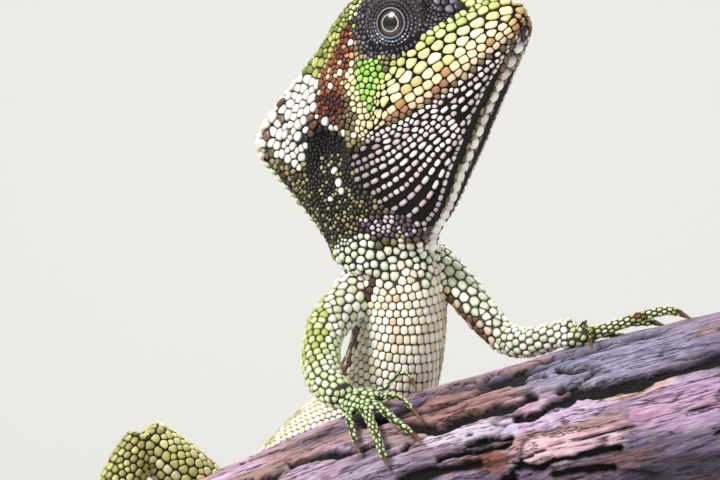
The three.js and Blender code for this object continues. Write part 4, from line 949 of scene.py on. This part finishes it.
# Single big white scales, at their places in the picture.
BIG = [(313, 107, 1.5), (303, 120, 1.4), (324, 122, 1.4), (330, 86, 1.1), (339, 73, 1.2), (350, 43, 1.1),
       (353, 135.5, 1.0), (341, 134, 1.0), (332.5, 170, 1.2), (338.4, 183, 1.3), (341, 191, 1.1), (329.6, 199, 0.9),
       (302, 157, 1.3), (297, 136, 1.3), (305, 130, 1.0), (284, 146, 1.1), (292, 147, 1.2), (285, 128, 1.1)]
u, v, size = np.array(BIG).T
found = np.array([picture_tree.find((a, b, 0))[1] for a, b in zip(u, v)])
head_seeds("scales_head", grid_t[found], grid_s[found], long=size * 0.62, wide=size * 0.5, space=size * 0.9, high=0.42,
           flat=0.3, colour=linear("#F3F0E6"))

# Rows of oblong scales follow the mouth line on both lips: three above it and four below.
LIP_TOP = [(370, 129), (373, 101), (388, 71), (410, 48), (436, 30), (466, 13), (492, 2), (508, -3), (519, -2)]
LIP_LOW = [(371, 133), (384, 124), (412, 110), (440, 92), (463, 74), (487, 56), (506, 42), (518, 34), (527, 26)]
share = np.linspace(0, 1, 240)
lip_top, mouth, lip_low = (spline(line, share) for line in (LIP_TOP, MOUTH[::-1], LIP_LOW))
# Where each row lies between two lines, then its height and a scale's length in pixels.
ROWS = [(lip_top, mouth, 0.26, 7.5, 12, "#E4E094", "#C9CC74"), (lip_top, mouth, 0.76, 8.5, 15.5, "#F3EDBE", "#EBE4A6"),
        (lip_top, mouth, -0.06, 6.0, 8, "#D3D98C", "#B2BE70"),
        (mouth, lip_low, 0.14, 9.5, 17, "#F5EEC4", "#EAE0A2"), (mouth, lip_low, 0.4, 8.5, 13, "#F0E6B4", "#DCC888"),
        (mouth, lip_low, 0.65, 8.0, 11, "#EBDCAC", "#C08F58"), (mouth, lip_low, 0.88, 6.5, 9.5, "#DDBFA0", "#A56F52")]
for number, (above, below, w, tall, stretch, main, second) in enumerate(ROWS):
    curve = above + (below - above) * w
    thin = np.clip(np.hypot(*(below - above).T) / (15 if below is mouth else 33), 0.4, 1)

    def lip_shade(u, v, pick):
        tone = lighter(main, second, 0.35, pick)
        gold = np.clip((u - 500) / 16, 0, 1)[:, None] * np.clip((34 - v) / 10, 0, 1)[:, None]
        tone = tone + (linear("#C9933C") - tone) * gold * (0.5 + 0.5 * pick[:, None])
        dark = np.clip((u - 514) / 8, 0, 1)[:, None] * np.clip((v - 20) / 8, 0, 1)[:, None]
        green = np.exp(-((u - 448) / 16) ** 2 - ((v - 27) / 10) ** 2)[:, None] * 0.6
        tone = tone + (linear("#BFE08A") - tone) * green
        return tone + (linear("#241713") - tone) * dark
    head_row("scales_lips", curve[10:], (stretch * (0.45 + 0.55 * thin))[10:], (tall * thin)[10:], 0.3,
             phase=0.5 * (number % 2), shade=lip_shade, flat=0.85)

# The throat has about a dozen long rows of narrow white scales on black hide, beside the big
# ones of the keel.
KEEL = [(514, 46), (506.6, 61.6), (500.4, 77.7), (494, 96.4), (485, 110), (479, 127), (472, 141.6),
        (467.7, 156), (462, 166.5), (456, 184.6), (446.6, 208.5), (441, 220), (433, 229.6)]
keel_line, jaw_low = spline(KEEL, share), spline([(a - 1, b + 5) for a, b in LIP_LOW[::-1]], share)


def throat_shade(u, v, pick):
    tone = lighter("#EFE4E0", "#D5BFC4", 0.3, pick)
    low = np.clip((v - 170) / 50, 0, 1)[:, None]
    tone = tone + (linear("#A994AE") - tone) * low * 0.75
    back = np.clip((392 - u) / 25, 0, 1)[:, None] * np.clip((v - 125) / 20, 0, 1)[:, None]
    return tone + (linear("#6A585A") - tone) * back * 0.7


# A row starts where there is room for it between its neighbours.
for number, w in enumerate(np.linspace(0.04, 0.953, 12)):
    bow = -44 * 4 * w * (1 - w) * share ** 2.5
    curve = jaw_low + (keel_line - jaw_low) * w + np.stack([bow, 0 * bow], 1)
    begin = (16, 120, 48, 120)[number % 4]
    step = np.clip(9.5 + 3 * np.sin(share * 5 + number * 1.7) - 2.5 * np.clip(share - 0.8, 0, 1) * 4, 6, 12.5)
    head_row("scales_throat", curve[begin:], step[begin:], np.interp(share, [0, 0.5, 1], [4.2, 4.8, 5.2])[begin:], 0.4,
             phase=0.37 * (number % 3), shade=throat_shade, flat=0.25)


# Five rings of small beads on the folds of each lid, paler below and browner above.
for side, out in (("right", NEAR), ("left", -NEAR)):
    up, across = np.array([0, 0, 1.0]), np.cross([0, 0, 1.0], out)
    for number, radius in enumerate((2.5, 2.95, 3.42, 3.88, 4.3)):
        count = round(2 * math.pi * radius / (0.52 + 0.04 * number))
        angle = (np.arange(count) + 0.5 * (number % 2) + random.uniform(-0.12, 0.12, count)) / count * 2 * math.pi
        ring = across * np.cos(angle)[:, None] + up * np.sin(angle)[:, None]
        height = np.interp(radius, *np.array(LID_RIDGES).T)
        tone = lighter("#8A8798", "#C3C4D0", 0.3, random.uniform(0, 1, count))
        low = np.clip(0.55 - 0.8 * np.sin(angle), 0, 1)[:, None]
        tone = linear("#4A3A3C") + (tone - linear("#4A3A3C")) * low
        sow("scales_lids", EYES[side] + ring * radius + out * height, unit(np.cross(out, ring)),
            np.zeros((count, 4)), long=0.31, wide=0.2, space=0.36, high=0.13, flat=0.2, colour=tone)

# The fill of the head: a spacing in millimetres for each patch of the picture, and its height.
SPACES = [(0.85, 0.3, 0.5, 400, 100, 900, 900), (1.3, 0.42, 0.35, 296, 100, 34, 66), (1.35, 0.45, 0.3, 280, 128, 26, 30),
          (0.85, 0.34, 0.4, 340, 38, 15, 46), (0.75, 0.3, 0.4, 335, 80, 16, 34), (0.62, 0.25, 0.4, 330, 110, 18, 14),
          (0.78, 0.32, 0.5, 368, 84, 22, 40), (0.62, 0.25, 0.4, 395, 22, 46, 46), (0.5, 0.2, 0.3, 440, 12, 17, 16),
          (1.15, 0.34, 0.6, 480, 2, 46, 18), (0.8, 0.34, 0.4, 520, 12, 14, 40), (0.95, 0.32, 0.3, 305, 145, 22, 18),
          (0.48, 0.22, 0.2, 328, 158, 20, 26), (0.55, 0.26, 0.2, 330, 205, 36, 46), (0.6, 0.25, 0.3, 366, 170, 14, 46),
          (0.7, 0.28, 0.3, 402, 224, 48, 12), (1.15, 0.28, 0.7, 395, 264, 70, 24)]


def spacing_at(u, v, lumps):
    space, high, flat = (np.full(len(u), SPACES[0][k]) for k in range(3))
    for a, h, f, pu, pv, wide, tall in SPACES[1:]:
        inside = np.hypot((u + 5 * lumps - pu) / wide, (v - pv) / tall) < 1
        space, high, flat = np.where(inside, a, space), np.where(inside, h, high), np.where(inside, f, flat)
    return space, high, flat




def darts_on(rows, count):
    """Random places on the skin, on faces whose first corner is in rows."""
    faces = skin_faces[rows[skin_faces[:, 0]]]
    faces = faces[random.integers(0, len(faces), count)]
    a, b = random.uniform(0, 1, (2, count, 1))
    corner = points[faces]
    return ((corner[:, 0] * (1 - a) + corner[:, 1] * a) * (1 - b) + (corner[:, 3] * (1 - a) + corner[:, 2] * a) * b,
            tags[faces[:, 0]])


def within(u, v, outline):
    """Whether places of the picture lie inside a closed outline."""
    inside = np.zeros(len(u), bool)
    for (a, b), (c, d) in zip(outline, np.roll(outline, -1, 0)):
        crosses = (b > v) != (d > v)
        inside ^= crosses & (u < (c - a) * (v - b) / (d - b + 1e-12) + a)
    return inside


spots, tags_new = darts_on(tags[:, 0] == 0, 60000)
t, s, side = tags_new[:, 1], (1 - np.cos(tags_new[:, 2])) / 2, np.where(np.sin(tags_new[:, 2]) >= 0, 1, -1)
way = unit(head_point(t + 0.004, s, side) - head_point(t - 0.004, s, side))
u, v = head_picture(tags_new, spots)
space, high, flat = spacing_at(u, v, noise(spots, 3, 31))
space = space * random.uniform(0.88, 1.14, len(u))
back_line = jaw_low[-1] + (keel_line[-1] - jaw_low[-1]) * share[:, None] - np.outer(44 * 4 * share * (1 - share), [1, 0])
throat = np.concatenate([jaw_low, back_line, keel_line[::-1] - [3, 0]])
keep = np.hypot(u - NOSTRIL[0], v - NOSTRIL[1]) > 4.5
keep &= ~within(u, v, np.concatenate([lip_top, lip_low[::-1]])) & ~within(u, v, throat)
for centre in EYES.values():
    far = spots - centre
    keep &= (np.linalg.norm(far - (far @ NEAR)[:, None] * NEAR, axis=1) > 3.7) | (np.linalg.norm(far, axis=1) > 6)
neck = v > 168
for rows, coat in ((keep & ~neck, "scales_head"), (keep & neck, "scales_neck")):
    sow(coat, spots[rows], way[rows], tags_new[rows], long=space[rows] * 0.76, wide=space[rows] * 0.66,
        space=space[rows] * 0.93, high=high[rows] * np.clip(space[rows], 0.4, 1), flat=flat[rows], tilt=0.05)


def ring_seeds(coat, part, place, length, width, second=0, start=0.0, end=1.0, base=math.pi, split=None, **sizes):
    """Sows scales in rings round a trunk, limb or tail, each ring half a scale on from the last."""
    t = np.linspace(start, end, 500)
    middle = (place(t, 0 * t) + place(t, 0 * t + math.pi)) / 2
    gone = np.concatenate([[0], np.cumsum(np.linalg.norm(np.diff(middle, axis=0), axis=1))])
    number, at = 0, 0.3 * length(0.0)
    while at < gone[-1]:
        ring_t = float(np.interp(at, gone, t))
        around = np.arange(24) / 24 * 2 * math.pi
        loop = place(np.full(24, ring_t), around)
        girth = np.linalg.norm(loop - np.roll(loop, 1, 0), axis=1).sum()
        long, wide = length(ring_t), width(ring_t)
        count = max(5, round(girth / wide))
        angle = (np.arange(count) + 0.5 * (number % 2)) / count * 2 * math.pi + base
        angle = angle + random.uniform(-0.06, 0.06, count) * 2 * math.pi / count
        ts = np.clip(ring_t + random.uniform(-0.05, 0.05, count) * long / gone[-1], 0, 1)
        spots = place(ts, angle)
        lies = unit(place(ts + 0.01, angle) - place(ts - 0.01, angle))
        tags = np.stack([np.full(count, PARTS.index(part)), ts, angle % (2 * math.pi), np.full(count, second)], 1)
        name = coat if split is None or ring_t < split[0] else split[1]
        sow(name, spots, lies, tags, long=long * 0.66, wide=girth / count * 0.56, space=min(long, girth / count) * 0.8,
            **sizes)
        number, at = number + 1, at + long


ring_seeds("scales_chest", "torso", lambda t, a: torso_point(t, a, 1.0, -COAT["torso"]), lambda t: 1.12,
           lambda t: 1.2 - 0.2 * t, high=0.28, flat=0.75, tilt=0.1, split=(0.42, "scales_back"))
ring_seeds("scales_tail_root", "tail", lambda t, a: tube_point(TAIL, t, a, 1.0, -COAT["tail"]),
           lambda t: 1.0 - 0.25 * t, lambda t: 0.8 - 0.3 * t, high=0.18, flat=0.5, tilt=0.1, keel=0.6,
           split=(0.4, "scales_tail_tip"))
for name, limb in LIMBS.items():
    coat = "scales_arms" if "arm" in name else "scales_legs"
    big = 1.35 if "arm" in name else 1.3
    for second, part in enumerate(("upper", "lower")):
        rows = np.array(limb[part])
        ring_seeds(coat, name, lambda t, a: tube_point(rows, t, a, 1.0, -COAT["limb"]),
                   lambda t: big * (1.05 if second == 0 else 0.85), lambda t: big * (1.1 if second == 0 else 0.85),
                   second, high=0.27, flat=0.55, tilt=0.1, keel=0.3)
for name, number, rows in digit_rows:
    ring_seeds("scales_hands_and_feet", FOOT[name], lambda t, a: tube_point(rows, t, a, 1.0, -COAT["digit"]),
               lambda t: 0.86 - 0.2 * t, lambda t: 0.84 - 0.16 * t, number, start=0.12, end=0.985, high=0.12,
               flat=0.5, tilt=0.07)

for name, limb in LIMBS.items():
    spots, tags_new = darts_on(tags[:, 0] == PARTS.index(FOOT[name]), 2500)
    ahead = on_branch(*limb["palm"][0])[1]
    sow("scales_hands_and_feet", spots, np.tile(ahead, (len(spots), 1)), tags_new, long=0.6, wide=0.6, space=0.85,
        high=0.17, flat=0.6, tilt=0.05)
for part, coat, space in (("torso", "scales_chest", 1.0), ("arm_right", "scales_arms", 1.0), ("arm_left", "scales_arms", 0.9),
                          ("leg_right", "scales_legs", 0.9), ("leg_left", "scales_legs", 0.9)):
    spots, tags_new = darts_on(tags[:, 0] == PARTS.index(part), 9000)
    down = np.tile([0.1, 0.1, -1.0], (len(spots), 1))
    back = (part == "torso") & (tags_new[:, 1] > 0.42)
    for rows, name in ((~back, coat), (back, "scales_back")):
        if np.any(rows):
            sow(name, spots[rows], down[rows], tags_new[rows], long=space * 0.62, wide=space * 0.58,
                space=space * 0.93, high=0.24, flat=0.6, tilt=0.05)

# Each scale is dropped on the skin, and those too near an earlier one, or off it, go.
seeds = np.concatenate(seeds)
landed = [ground_tree.find_nearest(p) for p in seeds[:, :3]]
spots = np.array([hit[0][:] for hit in landed])
normals = np.array([hit[1][:] for hit in landed])
order = np.flatnonzero(np.array([hit[3] for hit in landed]) < 0.5)
cells, kept = {}, []
for i in order:
    p, space = spots[i], seeds[i, 12]
    key = tuple((p // 1.7).astype(int))
    clear = True
    for step in np.ndindex(3, 3, 3):
        for x, y, z, other in cells.get((key[0] + step[0] - 1, key[1] + step[1] - 1, key[2] + step[2] - 1), ()):
            if (p[0] - x) ** 2 + (p[1] - y) ** 2 + (p[2] - z) ** 2 < (0.45 * (space + other)) ** 2:
                clear = False
                break
        if not clear:
            break
    if clear:
        cells.setdefault(key, []).append((p[0], p[1], p[2], space))
        kept.append(i)
seeds, spots, normals = seeds[kept], spots[kept], normals[kept]
print("scales", len(seeds))


# ---- Scales --------------------------------------------------------------------------------
# Horny plates and grains, each a little mound of mesh fitted to its neighbours, with a dark
# line of hide between them. Each mound is painted darker down its sides to its sunk foot, as
# painted shade. They are hard and slightly polished, like a fingernail.
horn, tree = new_tree("keratin_scales")
tint = add(tree, "ShaderNodeAttribute", attribute_name="tint")
where = add(tree, "ShaderNodeTexCoord")
# Growth marks and scuffs on single scales are about 0.15 mm apart.
scuff = add(tree, "ShaderNodeTexNoise", {"Vector": where.outputs["Object"], "Scale": 3600, "Detail": 4})
stain = add(tree, "ShaderNodeTexNoise", {"Vector": where.outputs["Object"], "Scale": 1100, "Detail": 2})
mixed = add(tree, "ShaderNodeMix", {0: 0.3, 6: tint.outputs["Color"], 7: stain.outputs["Fac"]},
            data_type="RGBA", blend_type="SOFT_LIGHT")
bumps = add(tree, "ShaderNodeBump", {"Height": scuff.outputs["Fac"], "Strength": 0.25, "Distance": 0.0001})
gloss = add(tree, "ShaderNodeMath", {0: scuff.outputs["Fac"], 1: 0.3, 2: 0.28}, operation="MULTIPLY_ADD")
finish(tree, add(tree, "ShaderNodeBsdfPrincipled", {
    "Base Color": mixed.outputs[2], "Roughness": gloss.outputs[0], "Specular IOR Level": 0.5,
    "Normal": bumps.outputs[0]}))

pick, edge = random.uniform(0, 1, len(seeds)), random.uniform(0, 1, len(seeds))
tints = markings_and_painted_shade(seeds[:, 6:10], spots, pick, edge)
own = seeds[:, 17] >= 0
tints[own] = seeds[own, 17:20]
tints *= random.uniform(0.84, 1.1, len(seeds))[:, None]
lies = unit(seeds[:, 3:6] - (seeds[:, 3:6] * normals).sum(1)[:, None] * normals)
sides = np.cross(normals, lies)
NEIGHBOURS = 12
near_tree = KDTree(len(spots))
for i, p in enumerate(spots):
    near_tree.insert(p, i)
near_tree.balance()
around = np.array([[hit[1] for hit in near_tree.find_n(p, NEIGHBOURS + 1)][1:] for p in spots])
apart = spots[around] - spots[:, None]
dx, dy = (apart * lies[:, None]).sum(2), (apart * sides[:, None]).sum(2)
length2 = dx ** 2 + dy ** 2
weight = seeds[:, 12, None] / (seeds[:, 12, None] + seeds[around, 12])
turned = (normals[around] * normals[:, None]).sum(2) < 0.1
GAPS = {"scales_lids": 0.04, "scales_lips": 0.08, "scales_throat": 0.14, "scales_head": 0.09, "scales_neck": 0.09,
        "scales_chest": 0.07, "scales_back": 0.07, "scales_tail_root": 0.06, "scales_tail_tip": 0.05,
        "scales_arms": 0.08, "scales_legs": 0.08, "scales_hands_and_feet": 0.05}
for number, coat in enumerate(COATS):
    fine = coat in ("scales_lids", "scales_neck", "scales_hands_and_feet", "scales_tail_tip")
    corners = 9 if fine else 16 if coat in ("scales_lips", "scales_throat") else 13
    rows = np.flatnonzero(seeds[:, 20] == number)
    theta = np.arange(corners) / corners * 2 * math.pi
    c, s = np.cos(theta), np.sin(theta)
    facing = dx[rows, :, None] * c + dy[rows, :, None] * s
    reach = (weight * length2)[rows, :, None] / np.maximum(facing, 1e-6)
    reach[(facing < 0.08 * np.sqrt(length2[rows])[..., None]) | turned[rows][..., None]] = 50
    long, wide = seeds[rows, 10, None], seeds[rows, 11, None]
    square = 4.0 if coat in ("scales_lips", "scales_chest", "scales_arms") else 2.2
    cap = (np.abs(c / long) ** square + np.abs(s / wide) ** square) ** (-1 / square) * 1.08
    sharp = 16.0 if coat in ("scales_lips", "scales_chest") else 10.0
    reach = ((reach ** -sharp).sum(1) + cap ** -sharp) ** (-1 / sharp)
    reach = np.maximum(reach - GAPS[coat] / 2 * random.uniform(0.7, 1.5, (len(rows), 1)), 0.3 * reach)
    flat_dir = lies[rows, None] * c[:, None] + sides[rows, None] * s[:, None]
    foot = spots[rows, None] + flat_dir * reach[..., None]
    foot = np.array([ground_tree.find_nearest(p)[0][:] for p in foot.reshape(-1, 3)]).reshape(foot.shape)
    up, high = normals[rows, None], seeds[rows, 13, None]
    size = reach.mean(1)[:, None]
    high = np.minimum(high, 0.62 * size)
    tilt = seeds[rows, 15, None] * reach * c
    ridge = seeds[rows, 14, None] * high * np.clip(np.abs(c) * 4 - 3, 0, 1)
    flat = seeds[rows, 16, None]
    base = foot - up * 0.05
    heart = spots[rows, None]
    if fine:
        shares = [(0.66, 0.86, 1.0)]
    else:
        shares = [(0.9, 0.6, 0.72), (0.6, 0.9, 0.6)]
    # Painted shade: the colour darkens down each mound's sides to its sunk foot, less on flat scales.
    layers, shade = [base], [np.full((len(rows), corners), 0.2)]
    for out_share, lift, ridge_share in shares:
        out_share = out_share + 0.04 * flat
        level = high * (lift + (1 - lift) * 0.5 * flat) + tilt * out_share + ridge * ridge_share
        layers.append(heart + (foot - heart) * out_share[..., None] + up * level[..., None])
        shade.append(np.broadcast_to(0.55 + 0.4 * flat if lift < 0.7 else 0.97, (len(rows), corners)))
    top = spots[rows] + normals[rows] * (high * (1 + seeds[rows, 14, None]))
    mesh_points = np.concatenate([np.concatenate(layers, 1), top[:, None]], 1)
    shade = np.concatenate([np.concatenate(shade, 1), np.ones((len(rows), 1))], 1)
    each = mesh_points.shape[1]
    first = (np.arange(len(rows)) * each)[:, None, None]
    quads = strip_faces(len(layers), corners, True)[None] + first
    rim = (len(layers) - 1) * corners
    j = np.arange(corners)
    tris = np.stack([rim + j, rim + (j + 1) % corners, np.full(corners, each - 1)], 1)[None] + first
    coat_piece = new_piece(coat, mesh_points.reshape(-1, 3), [quads.reshape(-1, 4), tris.reshape(-1, 3)], horn)
    paint_points(coat_piece, "tint", (tints[rows, None] * shade[..., None]).reshape(-1, 3))
    # On the unrolled skin each scale takes one small patch, in the order of the rows.
    columns = max(1, math.ceil(math.sqrt(len(rows))))
    by_t = np.lexsort((seeds[rows, 8], np.round(seeds[rows, 7], 2)))
    rank = np.empty(len(rows), int)
    rank[by_t] = np.arange(len(rows))
    patch = np.stack([(rank // columns + 0.5) / (columns + 1), (rank % columns + 0.5) / columns], 1)
    local = mesh_points - spots[rows, None]
    local = np.stack([(local * lies[rows, None]).sum(2), (local * sides[rows, None]).sum(2)], 2)
    local = local / np.abs(local).max((1, 2))[:, None, None] * 0.0015
    flat_map = (patch[:, None] + local).reshape(-1, 2)
    corner_points = np.empty(len(coat_piece.data.loops), np.int32)
    coat_piece.data.loops.foreach_get("vertex_index", corner_points)
    coat_piece.data.uv_layers.new(name="OFBake").data.foreach_set(
        "uv", flat_map[corner_points].astype(np.float32).ravel())
    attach(coat_piece, "root")
    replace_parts(coat_piece, "head")
    print(coat, len(rows), sum(len(p.vertices) - 2 for p in coat_piece.data.polygons))


# ---- Crests --------------------------------------------------------------------------------
# Bigger scales that stand up from the edges: white knobs round the casque and down the middle
# of the throat, and low greenish points along the nape and the ridge of the back.
def knobs(name, roots, outs, alongs, long, high, thick, lean, colours, point=2.2):
    """Rounded or pointed knobs, each with its foot sunk in the skin and painted darker towards it, as painted shade."""
    roots, outs, alongs = (np.asarray(a, float) for a in (roots, outs, alongs))
    alongs = unit(alongs - (alongs * outs).sum(1)[:, None] * outs)
    across = np.cross(outs, alongs)
    levels = np.array([-0.45, 0, 0.35, 0.62, 0.82, 0.94])
    width = np.maximum(1 - np.clip(levels, 0, 1) ** point, 0.05) ** 0.6
    angle = np.arange(14) / 14 * 2 * math.pi
    rings = []
    for level, share in zip(levels, width):
        ring = (alongs[:, None] * (np.cos(angle) * share * long / 2 + max(level, 0) * lean)[..., None]
                + across[:, None] * (np.sin(angle) * share * thick / 2)[:, None] + outs[:, None] * level * high)
        rings.append(roots[:, None] + ring * 1.0)
    top = roots + outs * high + alongs * lean
    mesh_points = np.concatenate(rings + [top[:, None]], 1)
    each = mesh_points.shape[1]
    first = (np.arange(len(roots)) * each)[:, None, None]
    quads = strip_faces(len(levels), 14, True)[None] + first
    j, rim = np.arange(14), (len(levels) - 1) * 14
    tris = np.stack([rim + j, rim + (j + 1) % 14, np.full(14, each - 1)], 1)[None] + first
    crest = new_piece(name, mesh_points.reshape(-1, 3), [quads.reshape(-1, 4), tris.reshape(-1, 3)], horn)
    # Painted shade: each knob's colour darkens towards its sunk foot.
    shade = np.concatenate([np.repeat([0.15, 0.5, 0.9, 1, 1, 1], 14), [1.0]])
    paint_points(crest, "tint", (colours[:, None] * shade[:, None]).reshape(-1, 3))
    patch = (np.arange(len(roots)) + 0.5) / len(roots)
    local = mesh_points - roots[:, None]
    local = np.stack([(local * alongs[:, None]).sum(2), (local * across[:, None]).sum(2)], 2) / max(long, thick) * 0.0025
    flat_map = (np.stack([patch, 0 * patch + 0.5], 1)[:, None] + local).reshape(-1, 2)
    corner_points = np.empty(len(crest.data.loops), np.int32)
    crest.data.loops.foreach_get("vertex_index", corner_points)
    crest.data.uv_layers.new(name="OFBake").data.foreach_set("uv", flat_map[corner_points].astype(np.float32).ravel())
    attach(crest, "root")
    return crest


def edge_of_head(t, s, inner):
    roots = head_point(t, np.full(len(t), s), np.zeros(len(t)))
    outs = unit(roots - head_point(t, np.full(len(t), inner), np.zeros(len(t))))
    return roots - outs * COAT["head"], outs, np.gradient(roots, axis=0)


def varied(count, main, second, share):
    return lighter(main, second, share, random.uniform(0, 1, count)) * random.uniform(0.9, 1.08, (count, 1))


t = np.linspace(0.5, 0.75, 15) + random.uniform(-0.003, 0.003, 15)
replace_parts(knobs("casque_knobs", *edge_of_head(t, 0.0, 0.3), 1.35, 0.85, 1.5, 0.1,
                  varied(15, "#F3F0E6", "#D6C8A8", 0.2), 2.6), "head")
t = np.linspace(0.77, 0.95, 12)
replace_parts(knobs("nape_points", *edge_of_head(t, 0.0, 0.3), 1.2, 0.75, 0.7, 0.25,
                  varied(12, "#C4CBA0", "#8F8A5C", 0.4), 1.6), "neck")
t = np.linspace(0.1, 0.86, 21)
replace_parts(knobs("throat_keel", *edge_of_head(t, 1.0, 0.7), 1.85, 1.0, 1.9, 0.12,
                  varied(21, "#F5F0EC", "#E6D6DA", 0.25), 2.4), "throat_pouch")
t = np.linspace(0.06, 0.97, 34)
ridge, heart = torso_point(t, 0 * t, 1.0, -COAT["torso"]), torso_point(t, 0 * t, 0.2)
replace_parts(knobs("back_points", ridge, unit(ridge - heart), np.gradient(ridge, axis=0), 1.75, 0.95, 0.8, 0.4,
                  varied(34, "#A9A56A", "#6E6238", 0.3), 1.5), "torso_rear")


# ---- Claws ---------------------------------------------------------------------------------
# Curved claws of dark brown horn, smooth and half clear at the tip, one on every toe.
claw_horn, tree = new_tree("polished_claw_horn")
# Horn is streaked from root to tip; the streaks are about 0.1 mm wide.
tint = add(tree, "ShaderNodeAttribute", attribute_name="tint")
where = add(tree, "ShaderNodeTexCoord")
streak = add(tree, "ShaderNodeTexNoise", {"Vector": where.outputs["Object"], "Scale": 5000, "Detail": 2})
tone = add(tree, "ShaderNodeMix", {0: 0.4, 6: tint.outputs["Color"], 7: streak.outputs["Color"]},
           data_type="RGBA", blend_type="OVERLAY")
finish(tree, add(tree, "ShaderNodeBsdfPrincipled", {"Base Color": tone.outputs[2], "Roughness": 0.28}))
for name in LIMBS:
    all_points, all_faces, all_tones = [], [], []
    for owner, number, tip, way, down in claws:
        if owner != name:
            continue
        down = unit(down - way * (down @ way))
        across = np.cross(way, down)
        share, angle = np.linspace(0, 1, 12), np.arange(12) / 12 * 2 * math.pi
        droop = 0.3 * np.sin(1.9 * share) + 0.28 * share ** 2
        middle = tip - way * 0.25 + np.outer(share, way) * 1.75 + np.outer(droop, down)
        radius = 0.4 * (1 - share) ** 0.75 + 0.02
        ring = (down * np.cos(angle)[:, None] * 1.15 + across * np.sin(angle)[:, None] * 0.8)
        all_faces.append(strip_faces(12, 12, True) + sum(map(len, all_points)))
        all_points.append((middle[:, None] + ring[None] * radius[:, None, None]).reshape(-1, 3))
        all_tones.append(np.repeat(linear("#4A3322") + np.outer(share, linear("#8A6A48") - linear("#4A3322")), 12, 0))
    claw = new_piece(f"claws_{name}", np.concatenate(all_points), [np.concatenate(all_faces)], claw_horn)
    paint_points(claw, "tint", np.concatenate(all_tones))
    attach(claw, "root")
    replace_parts(claw, FOOT[name])
